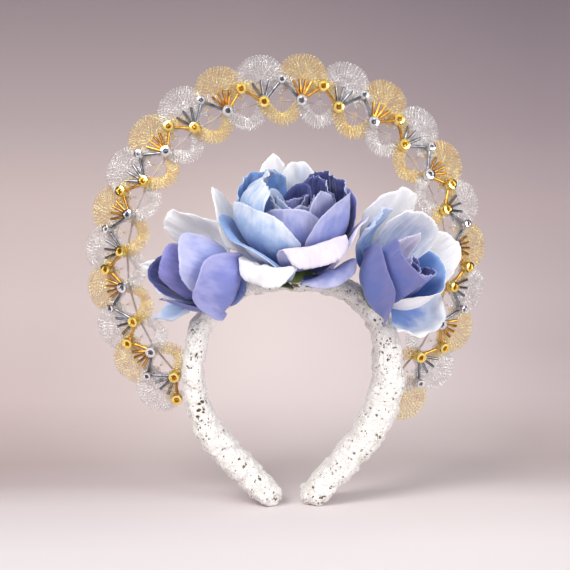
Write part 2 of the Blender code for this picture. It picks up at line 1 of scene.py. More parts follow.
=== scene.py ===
# %% [markdown]
# # Dressing a halo crown
#
# A padded headband wound with lace carries three fabric roses. Behind them stands a halo of two
# crossed tapes of knitted wire, gold and silver, with fans of the same net round the outside and a
# zigzag string of metal beads in front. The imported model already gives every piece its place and
# size. This lesson gives each one its real surface, and keeps it where the model has it.

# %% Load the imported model
import math

import bpy
import numpy as np
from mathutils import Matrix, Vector, noise
from mathutils.kdtree import KDTree


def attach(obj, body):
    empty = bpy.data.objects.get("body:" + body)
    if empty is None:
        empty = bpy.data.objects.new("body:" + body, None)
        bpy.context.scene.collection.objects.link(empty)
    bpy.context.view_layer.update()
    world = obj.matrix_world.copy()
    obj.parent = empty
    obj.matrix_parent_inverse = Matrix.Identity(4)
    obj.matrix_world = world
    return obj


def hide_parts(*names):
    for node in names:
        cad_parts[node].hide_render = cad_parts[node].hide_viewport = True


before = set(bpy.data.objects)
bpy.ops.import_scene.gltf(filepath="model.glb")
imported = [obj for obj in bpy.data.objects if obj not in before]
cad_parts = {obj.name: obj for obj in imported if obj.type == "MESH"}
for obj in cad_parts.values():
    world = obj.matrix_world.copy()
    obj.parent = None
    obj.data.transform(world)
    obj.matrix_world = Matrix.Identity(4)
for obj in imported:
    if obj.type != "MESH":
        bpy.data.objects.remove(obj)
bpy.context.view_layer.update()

BODY = "root"
MM = 0.001

# %% [markdown]
# ## Small helpers
#
# Colours are written the way a paint chart gives them, from 0 to 255, and turned into the linear
# values that a shader adds and multiplies. Nodes are made by one short function, which sets a
# socket where it is given a value and links it where it is given another socket.

# %% Colours and nodes


def paint(red, green, blue):
    """A linear colour with full opacity from a chart colour of 0 to 255."""
    linear = []
    for share in (red / 255, green / 255, blue / 255):
        linear.append(share / 12.92 if share <= 0.04045 else ((share + 0.055) / 1.055) ** 2.4)
    return (*linear, 1.0)


def feed(tree, node, sockets):
    """Sets or links a node's input sockets and returns the node."""
    for name, value in sockets.items():
        if isinstance(value, bpy.types.NodeSocket):
            tree.links.new(value, node.inputs[name])
        else:
            node.inputs[name].default_value = value
    return node


def add(tree, kind, sockets=None, **settings):
    """A new shader node. A socket's value may be a number, a colour or another node's socket."""
    node = tree.nodes.new("ShaderNode" + kind)
    for name, value in settings.items():
        setattr(node, name, value)
    return feed(tree, node, sockets or {})


def calculate(tree, operation, first, second=0.0, third=0.0):
    """The result of one Math node."""
    return add(tree, "Math", {0: first, 1: second, 2: third}, operation=operation).outputs[0]


def blend_colours(tree, factor, first, second, blend_type="MIX"):
    """The result of one Mix node that works on colours."""
    node = add(tree, "Mix", data_type="RGBA", blend_type=blend_type)
    return feed(tree, node, {0: factor, 6: first, 7: second}).outputs[2]


def ramp(tree, factor, stops, interpolation="EASE"):
    """A colour ramp through (place, colour) stops."""
    node = add(tree, "ValToRGB", {"Fac": factor})
    node.color_ramp.interpolation = interpolation
    elements = node.color_ramp.elements
    while len(elements) < len(stops):
        elements.new(0.5)
    for element, (place, colour) in zip(elements, stops):
        element.position = place
        element.color = colour
    return node.outputs["Color"]


def use(tree, group, **sockets):
    """Places a node group and returns its outputs. Input sockets are set or linked by name."""
    return feed(tree, add(tree, "Group", node_tree=group), sockets).outputs


def range_share(tree, value, start, end):
    """Where a value lies between start and end, from 0 to 1."""
    return add(tree, "MapRange", {"Value": value, "From Min": start, "From Max": end}).outputs[0]


def new_group(name, inputs, outputs):
    """A shader node group, with its input and output sockets."""
    group = bpy.data.node_groups.new(name, "ShaderNodeTree")
    for label, kind, value in inputs:
        socket = group.interface.new_socket(name=label, in_out="INPUT", socket_type="NodeSocket" + kind)
        if kind != "Vector":
            socket.default_value = value
    for label, kind in outputs:
        group.interface.new_socket(name=label, in_out="OUTPUT", socket_type="NodeSocket" + kind)
    return group, group.nodes.new("NodeGroupInput").outputs, group.nodes.new("NodeGroupOutput").inputs


def new_material(name, **sockets):
    """A material with a Principled shader, whose plain values are set by socket name."""
    material = bpy.data.materials.new(name)
    material.use_nodes = True
    shader = material.node_tree.nodes["Principled BSDF"]
    for label, value in sockets.items():
        shader.inputs[label.replace("_", " ")].default_value = value
    return material, material.node_tree, shader.inputs


# %% [markdown]
# ## Effects that several finishes share
#
# Petals, leaves and lace are all woven or spun, so one group draws threads and another a cloudy
# unevenness of dye. Both take a place on the cloth in millimetres. A third group belongs to every
# metal here: handling leaves soft clouds of tarnish, which are darker and a little rougher.

# %% Cloud, weave and tarnish groups


def make_cloud_group():
    """Soft blotches from 0 to 1."""
    group, given, result = new_group(
        "dye_clouds", [("Vector", "Vector", None), ("Scale", "Float", 1.0)], [("Clouds", "Float")]
    )
    blotches = add(group, "TexNoise", {"Vector": given["Vector"], "Scale": given["Scale"], "Detail": 3.0})
    group.links.new(blotches.outputs["Fac"], result["Clouds"])
    return group


def make_weave_group():
    """The height of a plain weave, with threads that wander a little."""
    group, given, result = new_group(
        "plain_weave", [("Vector", "Vector", None), ("Threads", "Float", 2.5)], [("Height", "Float")]
    )
    wobble = add(group, "TexNoise", {"Vector": given["Vector"], "Scale": 0.8, "Detail": 1.0})
    moved = add(group, "VectorMath", {0: given["Vector"], 1: wobble.outputs["Color"]}, operation="ADD")
    place = add(group, "SeparateXYZ", {0: moved.outputs[0]})
    heights = []
    for axis in ("X", "Y"):
        turns = calculate(group, "MULTIPLY", place.outputs[axis], given["Threads"])
        heights.append(calculate(group, "SINE", calculate(group, "MULTIPLY", turns, math.tau)))
    group.links.new(calculate(group, "MULTIPLY", *heights), result["Height"])
    return group


def make_tarnish_group():
    """A metal's colour and roughness, both touched by soft clouds."""
    group, given, result = new_group(
        "tarnish",
        [
            ("Vector", "Vector", None),
            ("Scale", "Float", 100.0),
            ("Bright", "Color", (1, 1, 1, 1)),
            ("Dull", "Color", (0.5, 0.5, 0.5, 1)),
            ("Smooth", "Float", 0.1),
            ("Rough", "Float", 0.3),
        ],
        [("Color", "Color"), ("Roughness", "Float")],
    )
    clouds = add(group, "TexNoise", {"Vector": given["Vector"], "Scale": given["Scale"], "Detail": 4.0})
    spread = range_share(group, clouds.outputs["Fac"], 0.35, 0.7)
    span = calculate(group, "SUBTRACT", given["Rough"], given["Smooth"])
    roughness = calculate(group, "MULTIPLY_ADD", spread, span, given["Smooth"])
    group.links.new(blend_colours(group, spread, given["Bright"], given["Dull"]), result["Color"])
    group.links.new(roughness, result["Roughness"])
    return group


DYE_CLOUDS = make_cloud_group()
PLAIN_WEAVE = make_weave_group()
TARNISH = make_tarnish_group()
print("shared groups:", DYE_CLOUDS.name, PLAIN_WEAVE.name, TARNISH.name)

# %% [markdown]
# ## Metals
#
# The knitted wire is bright and thin. The round beads are polished so well that they mirror the
# studio. The short bugles are glass tubes: some lined with old gold, some the grey of a gun barrel.
# The support wire is dull and close to the paper in colour, so that it stays behind the net.

# %% Metal finishes
METALS = {
    # name: bright colour, dull colour, smoothest and roughest roughness, coat, metallic
    "gold_wire": (paint(255, 234, 152), paint(224, 178, 84), 0.22, 0.38, 0.0, 0.7),
    "silver_wire": (paint(255, 255, 254), paint(206, 200, 198), 0.22, 0.38, 0.0, 0.7),
    "gold_bead": (paint(255, 238, 156), paint(252, 214, 106), 0.08, 0.20, 0.0, 1.0),
    "silver_bead": (paint(248, 248, 250), paint(206, 206, 212), 0.05, 0.14, 0.0, 1.0),
    "gold_bugle": (paint(232, 172, 66), paint(128, 76, 14), 0.14, 0.28, 0.6, 1.0),
    "grey_bugle": (paint(150, 152, 162), paint(20, 22, 30), 0.10, 0.20, 1.0, 1.0),
    "steel_wire": (paint(202, 188, 184), paint(178, 164, 162), 0.45, 0.60, 0.0, 0.3),
}
TARNISH_SCALE = 220.0


def metal_finish(name):
    bright, dull, smooth, rough, coat, metallic = METALS[name]
    material, tree, shader = new_material(name, Metallic=metallic, Coat_Weight=coat, Coat_Roughness=0.08)
    place = add(tree, "TexCoord").outputs["Object"]
    looks = {"Bright": bright, "Dull": dull, "Smooth": smooth, "Rough": rough}
    worn = use(tree, TARNISH, Vector=place, Scale=TARNISH_SCALE, **looks)
    tree.links.new(worn["Color"], shader["Base Color"])
    tree.links.new(worn["Roughness"], shader["Roughness"])
    return material


FINISHES = {name: metal_finish(name) for name in METALS}
print("metals:", ", ".join(METALS))

# %% [markdown]
# ## Dyed petals
#
# Each petal was dipped: one colour at the root, another in the middle and a paler one at the rim.
# The dark roots are partly that dye and partly painted shade, where the petals crowd together.
# The mesh carries two maps. The petal map runs from 0 to 1 across the petal and from root to rim,
# so a ramp can follow the dye. The cloth map counts millimetres, so threads and veins keep one
# size on every petal. Clouds push the ramp about, because dye never settles evenly.

# %% Dyes
DYES_AND_SHADE = {
    # name: root, middle, rim
    # shade_navy is worn inside the inner cups: partly the roses' deep dye, partly painted shade.
    "shade_navy": (paint(12, 16, 52), paint(30, 36, 92), paint(74, 82, 142)),
    "indigo": (paint(44, 52, 112), paint(90, 96, 160), paint(134, 134, 198)),
    "slate": (paint(56, 72, 134), paint(96, 112, 174), paint(118, 120, 174)),
    "violet": (paint(60, 76, 142), paint(122, 130, 196), paint(164, 166, 216)),
    "lavender": (paint(66, 88, 158), paint(142, 152, 210), paint(190, 192, 230)),
    "lilac": (paint(112, 124, 184), paint(190, 190, 226), paint(218, 212, 238)),
    "mauve": (paint(96, 112, 166), paint(212, 204, 232), paint(232, 224, 244)),
    "blue": (paint(54, 92, 172), paint(92, 134, 200), paint(134, 164, 214)),
    "sky": (paint(76, 112, 184), paint(140, 168, 216), paint(198, 212, 238)),
    "frost": (paint(88, 124, 196), paint(162, 188, 228), paint(216, 226, 243)),
    "ice": (paint(120, 148, 208), paint(208, 219, 240), paint(242, 245, 251)),
    "milk": (paint(200, 214, 240), paint(246, 248, 253), paint(254, 254, 255)),
}
VEIN_DARK, VEIN_PALE = paint(90, 96, 140), paint(250, 250, 255)
VEIN_STRETCH = (1.1, 0.09, 1.0)
VEIN_TINT = 0.04
VEIN_RELIEF, WEAVE_RELIEF = 0.22, 0.12
DYE_DRIFT = 0.7


def petal_finish(name, shades, threads=2.6):
    material, tree, shader = new_material(
        name, Sheen_Weight=0.25, Sheen_Roughness=0.4, Subsurface_Weight=0.3, Subsurface_Scale=0.002
    )
    shader["Subsurface Radius"].default_value = (1.0, 1.0, 1.0)
    petal = add(tree, "SeparateXYZ", {0: add(tree, "UVMap", uv_map="petal").outputs[0]}).outputs
    cloth = add(tree, "UVMap", uv_map="cloth").outputs[0]
    clouds = use(tree, DYE_CLOUDS, Vector=cloth, Scale=0.09)[0]
    weave = use(tree, PLAIN_WEAVE, Vector=cloth, Threads=threads)[0]
    drift = calculate(tree, "MULTIPLY_ADD", calculate(tree, "SUBTRACT", clouds, 0.5), DYE_DRIFT, petal["Y"])
    root, middle, rim = shades
    # The root colour, held over the lower part of the petal, is partly dye and partly painted shade.
    dyed_and_shaded = ramp(tree, drift, [(0.24, root), (0.68, middle), (1.0, rim)])
    fan = add(tree, "Mapping", {"Vector": cloth, "Scale": VEIN_STRETCH}).outputs[0]
    veins = add(tree, "TexNoise", {"Vector": fan, "Scale": 1.0, "Detail": 4.0}).outputs["Fac"]
    streaks = ramp(tree, veins, [(0.35, VEIN_DARK), (0.65, VEIN_PALE)])
    streaked = blend_colours(tree, VEIN_TINT, dyed_and_shaded, streaks, "SOFT_LIGHT")
    tree.links.new(streaked, shader["Base Color"])
    roughness = calculate(tree, "MULTIPLY_ADD", clouds, 0.2, 0.6)
    tree.links.new(roughness, shader["Roughness"])
    vein_height = calculate(tree, "MULTIPLY", veins, VEIN_RELIEF)
    relief = calculate(tree, "MULTIPLY_ADD", weave, WEAVE_RELIEF, vein_height)
    bump = add(tree, "Bump", {"Height": relief, "Strength": 0.5, "Distance": 0.35 * MM})
    tree.links.new(bump.outputs[0], shader["Normal"])
    return material


LEAF_GREENS = (paint(58, 74, 26), paint(92, 112, 44), paint(140, 156, 86))
LEAF_PALES = (paint(96, 108, 66), paint(128, 140, 92), paint(160, 168, 120))
LEAF_THREADS = 2.0

for dye, shades in DYES_AND_SHADE.items():
    FINISHES[dye] = petal_finish("petal_" + dye, shades)
FINISHES["leaf"] = petal_finish("leaf_green", LEAF_GREENS, LEAF_THREADS)
FINISHES["leaf_back"] = petal_finish("leaf_pale", LEAF_PALES, LEAF_THREADS)
print("dyes:", ", ".join(DYES_AND_SHADE))

# %% [markdown]
# ## The forms that the model is drawn from
#
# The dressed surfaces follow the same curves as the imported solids, so those curves come back here:
# a smooth curve through a short table, the halo's leaning circle, and each rose's axis.

# %% Smooth curves


def curve_through(rows, place):
    """Points on the smooth curve through rows of numbers, at places from 0 to 1."""
    rows = np.asarray(rows, float)
    last = len(rows) - 1
    along = np.clip(place, 0.0, 1.0) * last
    index = np.minimum(along.astype(int), last - 1)
    part = (along - index)[..., None]
    a, b = rows[np.maximum(index - 1, 0)], rows[index]
    c, d = rows[index + 1], rows[np.minimum(index + 2, last)]
    slope, bend, twist = c - a, 2 * a - 5 * b + 4 * c - d, 3 * b - a - 3 * c + d
    return 0.5 * (2 * b + slope * part + bend * part**2 + twist * part**3)


def ripple(places, waves, seed):
    """A wandering line from about -1 to 1, with that many waves over a length of 2."""
    draw = np.random.default_rng(seed)
    total = np.zeros_like(places)
    for stretch, share in ((0.55, 0.45), (1.0, 0.35), (1.75, 0.25)):
        total += share * np.sin(math.pi * waves * stretch * places + draw.uniform(0, math.tau))
    return total


def ramp_up(value):
    """0 below 0, 1 above 1, and smooth between."""
    part = np.clip(value, 0.0, 1.0)
    return part * part * (3 - 2 * part)


def new_piece(name, points, faces, finishes, maps=None, stands_for=(), face_finish=None):
    """A mesh piece that rides with the crown. Maps are UV maps by name, one pair for each point."""
    mesh = bpy.data.meshes.new(name)
    mesh.from_pydata(np.asarray(points).tolist(), [], faces)
    for finish in finishes:
        mesh.materials.append(FINISHES[finish])
    if face_finish is not None:
        mesh.polygons.foreach_set("material_index", np.asarray(face_finish, np.int32))
    mesh.shade_smooth()
    corners = np.zeros(len(mesh.loops), np.int32)
    mesh.loops.foreach_get("vertex_index", corners)
    for label, values in (maps or {}).items():
        mesh.uv_layers.new(name=label).data.foreach_set("uv", np.asarray(values, np.float32)[corners].ravel())
    piece = bpy.data.objects.new(name, mesh)
    bpy.context.scene.collection.objects.link(piece)
    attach(piece, BODY)
    if stands_for:
        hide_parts(*stands_for)
    return piece


def triangles(piece):
    """How many triangles a piece shows, its modifiers included."""
    shown = piece.evaluated_get(bpy.context.evaluated_depsgraph_get()).to_mesh()
    return sum(len(face.vertices) - 2 for face in shown.polygons)


# %% [markdown]
# ## The roses
#
# A fabric rose is cut petals, glued one round another on a small core. Here a petal is a piece of
# a turned bowl: its profile gives radius and height above the rose's base, in millimetres, and it
# covers a span of azimuth, counted from the viewer's side and growing to the right. Cloth doesn't
# keep to a bowl, though. So each petal also has a manner: its rim rolls outwards, its edge waves,
# fine pleats run down from the rim, and a crease runs up the middle.

# %% Where each rose stands
BAND_Y = 19.04
ROSES = {
    # base point, axis, and the profiles of the petals
    "centre": {
        "base": (1.0, -5.0, 159.6),
        "axis": (-0.06, -0.42, 0.90),
        "profiles": {
            "fold_small": ((2.0, 14), (4, 26), (5.5, 39), (5, 53)),
            "fold": ((4.5, 12), (8, 24), (10.5, 37), (9, 54)),
            "fold_wide": ((6.5, 11), (11, 22), (14, 35), (12.0, 57)),
            "inner": ((8.9, 7.4), (13.5, 16), (16.5, 31), (13, 54)),
            "front": ((9.8, 6.0), (18, 14), (28, 32), (23.5, 55)),
            "high": ((9.8, 6.0), (17.5, 14.5), (25, 32), (22.5, 62)),
            "cup": ((9.8, 6.0), (18, 14), (28.5, 29), (33, 44), (28, 57), (17, 65)),
            "arc": ((9.8, 6.0), (18, 14), (26, 31), (27.5, 57)),
            "wall": ((10.4, 4.9), (20.5, 13.5), (32, 29), (36.5, 44), (35, 58)),
            "mid": ((11.5, 4.0), (22, 12.5), (34.5, 28), (37, 44), (35.5, 57)),
            "lean": ((11.5, 4.0), (22, 12.5), (34, 28), (38, 43), (33.5, 56)),
            "side": ((12.3, 3.0), (25.5, 10), (38.5, 25), (42, 50)),
            "collar": ((12.3, 3.0), (25, 10.5), (37, 23.5), (41, 33.5), (46, 37), (52, 25)),
            "bowl": ((13.2, 2.0), (26, 10), (36, 23), (43, 34), (48, 43)),
            "back": ((12.3, 3.0), (29, 10), (40, 30), (40.5, 59)),
            "spread": ((13.6, 0.9), (28.5, 8), (41, 25), (51.5, 56)),
            "wing": ((13.9, 1.2), (28, 8), (39.5, 24), (48, 44)),
            "tall": ((13.9, 1.2), (34, 6), (46, 28), (45.5, 63)),
            "apron": ((14.6, -0.6), (27, 4.5), (38, 17.5), (45.5, 23), (50, 19), (52.5, 10)),
            "under": ((14.6, -0.6), (27, 3), (38.5, 11.5), (46, 13.5), (51, 6.5)),
            "leaf": ((15.0, -3.0), (24, -2.0), (33, 2.5), (41, 8.0)),
        },
    },
    "left": {
        "base": (-40.0, -13.0, 146.5),
        "axis": (-0.82, -0.48, 0.28),
        "profiles": {
            "fold_small": ((1.6, 14), (3, 24), (4, 36), (3, 46)),
            "fold": ((3.6, 12), (6.5, 22), (8, 34), (5.5, 49)),
            "inner": ((7.9, 7.0), (13.5, 16), (17, 32), (14.5, 66)),
            "core": ((7.9, 7.0), (13, 16), (15.5, 30), (12, 58)),
            "mid": ((9.0, 5.0), (18, 12), (24.5, 26), (23.5, 59)),
            "half": ((9.0, 5.0), (17, 12.5), (22, 26), (19, 50)),
            "outer": ((10.2, 3.6), (20, 7.5), (27.2, 18), (27.5, 48)),
            "top": ((11.6, 2.0), (26, 7), (38, 20), (42, 48)),
            "side": ((10.4, 3.4), (21, 9), (30, 20), (33, 40)),
            "low": ((8.9, 5.8), (15.6, 13.8), (25, 24), (45, 36)),
        },
    },
    "right": {
        "base": (58.0, -12.0, 141.5),
        "axis": (0.50, -0.72, 0.48),
        "profiles": {
            "fold_small": ((1.6, 13), (3, 22), (4, 32), (3, 40)),
            "fold": ((3.6, 11), (7, 20), (9, 31), (7, 44)),
            "inner": ((7.6, 7.0), (10.5, 15), (12, 28), (9, 48)),
            "peak": ((7.6, 7.0), (13, 15), (18, 30), (19, 51)),
            "mid": ((8.9, 5.4), (18, 12), (24.5, 26), (23.5, 56)),
            "cup": ((8.9, 5.4), (17, 11.5), (21.5, 24), (20, 44)),
            "outer": ((10.1, 4.0), (21, 8), (29, 18), (28.5, 48)),
            "back": ((10.9, 3.2), (24, 9), (33, 24), (34.5, 52)),
            "blue": ((11.4, 2.6), (26, 8), (37, 24), (41, 54)),
            "side": ((11.9, 2.1), (28, 7), (38, 20), (40.5, 46)),
            "low": ((11.9, 2.1), (25, 6), (34, 13), (38, 23)),
            "top": ((12.7, 1.2), (31, 6), (44.5, 24), (49, 55)),
        },
    },
}
MANNERS = {
    # rim roll in mm, where the roll starts, edge wave in mm, waves, pleats in mm, crease in mm,
    # crush of the rim in mm, ragged share of the reach
    "tight": (0.8, 0.80, 0.8, 2.4, 0.16, 0.3, 0.8, 0.012),
    "cup": (1.2, 0.84, 1.2, 2.2, 0.14, 0.5, 0.2, 0.005),
    "crushed": (0.6, 0.84, 2.6, 3.2, 0.42, 0.6, 1.1, 0.016),
    "pleated": (1.0, 0.84, 1.8, 2.6, 0.60, 0.5, 0.4, 0.009),
    "curled": (3.6, 0.72, 1.8, 1.6, 0.10, 0.8, 0.1, 0.004),
    "collar": (0.6, 0.85, 1.6, 2.0, 0.16, 0.4, 0.3, 0.012),
    "loose": (2.6, 0.74, 3.4, 2.4, 0.24, 0.9, 0.2, 0.005),
    "flat": (1.6, 0.74, 3.6, 1.7, 0.24, 1.6, 0.3, 0.008),
    "leaf": (0.4, 0.80, 0.8, 1.6, 0.05, 1.2, 0.0, 0.004),
}
# The darkest insides, shade_navy above all, are partly painted shade deep in the cups.
PETALS = (
    # rose, name, profile, azimuth, half span, share of reach, drop at its left and right,
    # tip, spiral in mm, tilt in mm, manner, outside dye, inside dye
    ("centre", "inner_left", "inner", -85, 80, 1.00, 0.16, 0.16, 0.05, 1.4, 0, "tight", "sky", "blue"),
    ("centre", "inner_right", "inner", 85, 80, 0.94, 0.16, 0.16, 0.05, 1.4, 0, "tight", "violet", "shade_navy"),
    ("centre", "inner_back", "arc", 128, 40, 0.97, 0.16, 0.16, 0.02, 1.4, 0, "crushed", "lavender", "shade_navy"),
    ("centre", "cup_front", "front", -8, 52, 1.00, 0.20, 0.28, 0.02, 1.6, 0, "cup", "lavender", "violet"),
    ("centre", "cup_right", "high", 48, 42, 1.00, 0.30, 0.20, 0.08, 1.6, 0, "cup", "lavender", "shade_navy"),
    ("centre", "cup_left", "cup", -97, 59, 1.00, 0.08, 0.10, 0.00, 1.4, 2, "crushed", "frost", "sky"),
    ("centre", "cup_back_right", "wall", 121, 42, 0.97, 0.22, 0.20, 0.02, 1.4, 0, "crushed", "lavender", "shade_navy"),
    ("centre", "cup_back_left", "wall", -145, 35, 1.00, 0.16, 0.22, 0.02, 1.4, 0, "crushed", "sky", "blue"),
    ("centre", "mid_left", "lean", -46, 49, 1.00, 0.16, 0.34, 0.02, 1.2, 0, "pleated", "frost", "sky"),
    ("centre", "mid_right", "mid", 54, 46, 1.00, 0.34, 0.16, 0.03, 1.2, 0, "cup", "lavender", "indigo"),
    ("centre", "mid_side", "side", 108, 32, 0.96, 0.24, 0.24, 0.03, 1.2, 0, "cup", "lavender", "indigo"),
    ("centre", "outer_left_front", "bowl", -60, 46, 1.00, 0.20, 0.42, 0.02, 1.4, -4, "curled", "ice", "blue"),
    ("centre", "outer_front", "collar", 11, 31, 1.00, 0.46, 0.10, 0.00, 1.2, 2, "collar", "lilac", "mauve"),
    ("centre", "outer_right", "wing", 61, 26, 1.00, 0.34, 0.16, 0.08, 1.2, 6, "curled", "lilac", "lilac"),
    ("centre", "outer_left", "spread", -112, 23, 1.00, 0.22, 0.22, 0.16, 1.2, 0, "curled", "milk", "milk"),
    ("centre", "outer_back", "tall", -172, 24, 1.00, 0.26, 0.26, 0.14, 1.2, 0, "loose", "milk", "milk"),
    ("centre", "outer_back_right", "back", 167, 22, 1.00, 0.22, 0.22, 0.04, 1.2, 0, "loose", "ice", "ice"),
    ("centre", "under_left", "apron", -29, 27, 1.00, 0.34, 0.34, 0.02, 0.8, 0, "flat", "ice", "milk"),
    ("centre", "under_right", "under", 30, 28, 0.98, 0.26, 0.20, 0.02, 0.8, 2, "flat", "lilac", "lavender"),
    ("centre", "leaf_left", "leaf", -31, 26, 0.90, 0.10, 0.10, 0.30, 0.4, 0, "leaf", "leaf_back", "leaf"),
    ("centre", "leaf_right", "leaf", 34, 22, 0.84, 0.10, 0.10, 0.30, 0.4, 0, "leaf", "leaf_back", "leaf"),
    ("left", "inner_top", "inner", 12, 72, 1.00, 0.26, 0.16, 0.03, 1.3, 0, "cup", "indigo", "shade_navy"),
    ("left", "inner_low", "core", -150, 74, 1.00, 0.16, 0.16, 0.05, 1.3, 0, "cup", "indigo", "shade_navy"),
    ("left", "mid_top", "mid", 36, 56, 1.00, 0.16, 0.30, 0.02, 1.3, 0, "cup", "lavender", "violet"),
    ("left", "mid_low", "half", -80, 31, 1.00, 0.24, 0.20, 0.02, 1.3, 0, "cup", "slate", "violet"),
    ("left", "outer_front", "outer", 0, 58, 1.00, 0.62, 0.44, 0.03, 1.3, 0, "curled", "violet", "lavender"),
    ("left", "pale_top", "top", 136, 32, 1.00, 0.24, 0.50, 0.06, 1.3, 0, "loose", "ice", "milk"),
    ("left", "pale_back", "top", -172, 13, 1.02, 0.22, 0.22, 0.10, 1.3, 0, "loose", "milk", "milk"),
    ("left", "pale_side", "side", -155, 13, 1.00, 0.24, 0.20, 0.04, 1.3, 0, "loose", "slate", "ice"),
    ("left", "pale_low", "low", -126, 16, 1.00, 0.24, 0.24, 0.12, 1.3, 0, "loose", "slate", "sky"),
    ("right", "inner_right", "inner", 60, 96, 1.00, 0.16, 0.16, 0.05, 1.3, 0, "tight", "violet", "shade_navy"),
    ("right", "inner_left", "peak", -133, 36, 1.00, 0.50, 0.12, 0.14, 1.3, 0, "cup", "violet", "mauve"),
    ("right", "mid_left", "mid", -40, 52, 1.00, 0.08, 0.02, 0.00, 1.3, 7, "cup", "slate", "indigo"),
    ("right", "mid_right", "cup", 98, 82, 1.00, 0.28, 0.12, 0.00, 1.3, 0, "cup", "milk", "blue"),
    ("right", "outer_front", "outer", -32, 63, 1.00, 0.34, 0.60, 0.02, 1.3, 0, "curled", "slate", "violet"),
    ("right", "outer_right", "side", 165, 28, 1.00, 0.30, 0.20, 0.03, 1.3, 0, "pleated", "milk", "milk"),
    ("right", "outer_back", "back", -148, 35, 1.00, 0.24, 0.20, 0.02, 1.3, 0, "pleated", "milk", "ice"),
    ("right", "outer_left", "blue", -97, 16, 1.00, 0.20, 0.20, 0.08, 1.3, 0, "crushed", "sky", "sky"),
    ("right", "outer_top", "top", -131, 23, 1.00, 0.22, 0.22, 0.06, 1.3, 0, "loose", "milk", "milk"),
    ("right", "open_low", "low", 86, 50, 1.00, 0.20, 0.20, 0.03, 1.3, 0, "loose", "milk", "ice"),
)


def rose_axes(rose):
    """A rose's base point in metres, and its front, right and axis directions."""
    axis = Vector(ROSES[rose]["axis"]).normalized()
    to_viewer = Vector((0, -1, 0))
    front = (to_viewer - axis * to_viewer.dot(axis)).normalized()
    x, y, z = ROSES[rose]["base"]
    base = Vector((x, BAND_Y + y, z)) * MM
    return [np.array(vector) for vector in (base, front, axis.cross(front), axis)]


def turned(rose, turn, radius, height):
    """Points round a rose's axis, in metres, from turns in radians and radii and heights in mm."""
    base, front, right, axis = rose_axes(rose)
    sideways = np.cos(turn)[..., None] * front + np.sin(turn)[..., None] * right
    return base + (sideways * radius[..., None] + axis * height[..., None]) * MM


for rose, form in ROSES.items():
    print(rose, "rose: base at", form["base"], "mm, axis", form["axis"])

# %% Petal surfaces
ACROSS = 76
ALONG = 28
CROWDING = 1.15
BASE_WIDTH = 0.32
WIDEST = 0.7
CORNER = 3.0
CREASE_WIDTH = 0.16
ROLL_DROP = 0.65
PLEATS = 15
CRUMPLES = 6.5
FRAYS = 22
PETAL_THICK = 0.45 * MM
RIM_ROWS = 6


def petal_surface(row, seed):
    """A grid of points for one petal, and its places across (-1 to 1) and along (0 to 1)."""
    rose, _, profile, azimuth, half_span, share, left, right, tip, spiral, tilt, manner, _, _ = row
    roll, roll_start, wave, waves, pleat, crease, crush, ragged = MANNERS[manner]
    rows = ROSES[rose]["profiles"][profile]
    across, along = np.meshgrid(np.linspace(-1, 1, ACROSS + 1), np.linspace(0, 1, ALONG + 1) ** CROWDING)
    side = np.abs(across)
    drop = np.where(across < 0, left, right)
    cut = 1 - drop * side**CORNER - tip * (1 - (1 - side) ** 2) + ragged * ripple(across, FRAYS, seed)
    reach = along * share * np.clip(cut, 0.1, 1.2)
    step = 0.01
    place = curve_through(rows, reach)
    tangent = curve_through(rows, reach + step) - curve_through(rows, reach - step)
    tangent /= np.maximum(np.linalg.norm(tangent, axis=-1, keepdims=True), 1e-9)
    rolled = np.clip((along - roll_start) / (1 - roll_start), 0, 1)
    buckle = ripple(across + 0.25 * ripple(along, 2.0, seed + 5), waves, seed + 1)
    pleats = ripple(across + 0.02 * ripple(along, 3.0, seed + 6), PLEATS, seed + 2)
    pleats *= 0.6 + 0.4 * ripple(along * 1.3, 2.0, seed + 3)
    crumpled = np.abs(ripple(across + 0.05 * ripple(along, 5.0, seed + 7), CRUMPLES, seed + 4)) * 2 - 1
    outward = roll * rolled**2 + wave * buckle * along**2.2 + pleat * pleats * along**0.8
    outward += crush * crumpled * along**4
    outward -= crease * np.exp(-((across / CREASE_WIDTH) ** 2)) * np.sin(math.pi * along) ** 2
    downward = ROLL_DROP * roll * rolled**3
    radius = place[..., 0] + tangent[..., 1] * outward - tangent[..., 0] * downward
    height = place[..., 1] - tangent[..., 0] * outward - tangent[..., 1] * downward
    width = BASE_WIDTH + (1 - BASE_WIDTH) * np.sin(np.minimum(1.0, along / WIDEST) * math.pi / 2)
    radius = radius + spiral * across * width
    height = height + tilt * across * along
    turn = np.radians(azimuth + half_span * across * width)
    return turned(rose, turn, radius, height), across, along


def grid_faces(tall, wide, first=0):
    """The quads of a grid of points, row by row."""
    starts = [first + row * (wide + 1) + column for row in range(tall) for column in range(wide)]
    return [(start, start + 1, start + wide + 2, start + wide + 1) for start in starts]


def lengths(points):
    """The length of each step along the rows of a grid."""
    return np.linalg.norm(np.diff(points, axis=1), axis=2)


def petal_maps(grid, across, along):
    """The petal map, and the cloth map in millimetres from the petal's root."""
    wide = lengths(grid[:-RIM_ROWS]).sum(axis=1).max() / MM
    tall = lengths(grid.swapaxes(0, 1)).sum(axis=1).max() / MM
    petal = np.stack([across / 2 + 0.5, along], axis=-1)
    cloth = np.stack([across / 2 * wide, along * tall], axis=-1)
    return {"petal": petal.reshape(-1, 2), "cloth": cloth.reshape(-1, 2)}, wide, tall


def give_thickness(piece, thickness):
    """Turns a sheet into cloth of that thickness. The side towards the axis gets the second finish."""
    solidify = piece.modifiers.new("cloth", "SOLIDIFY")
    solidify.thickness = thickness
    solidify.offset = 0.0
    solidify.material_offset = 1


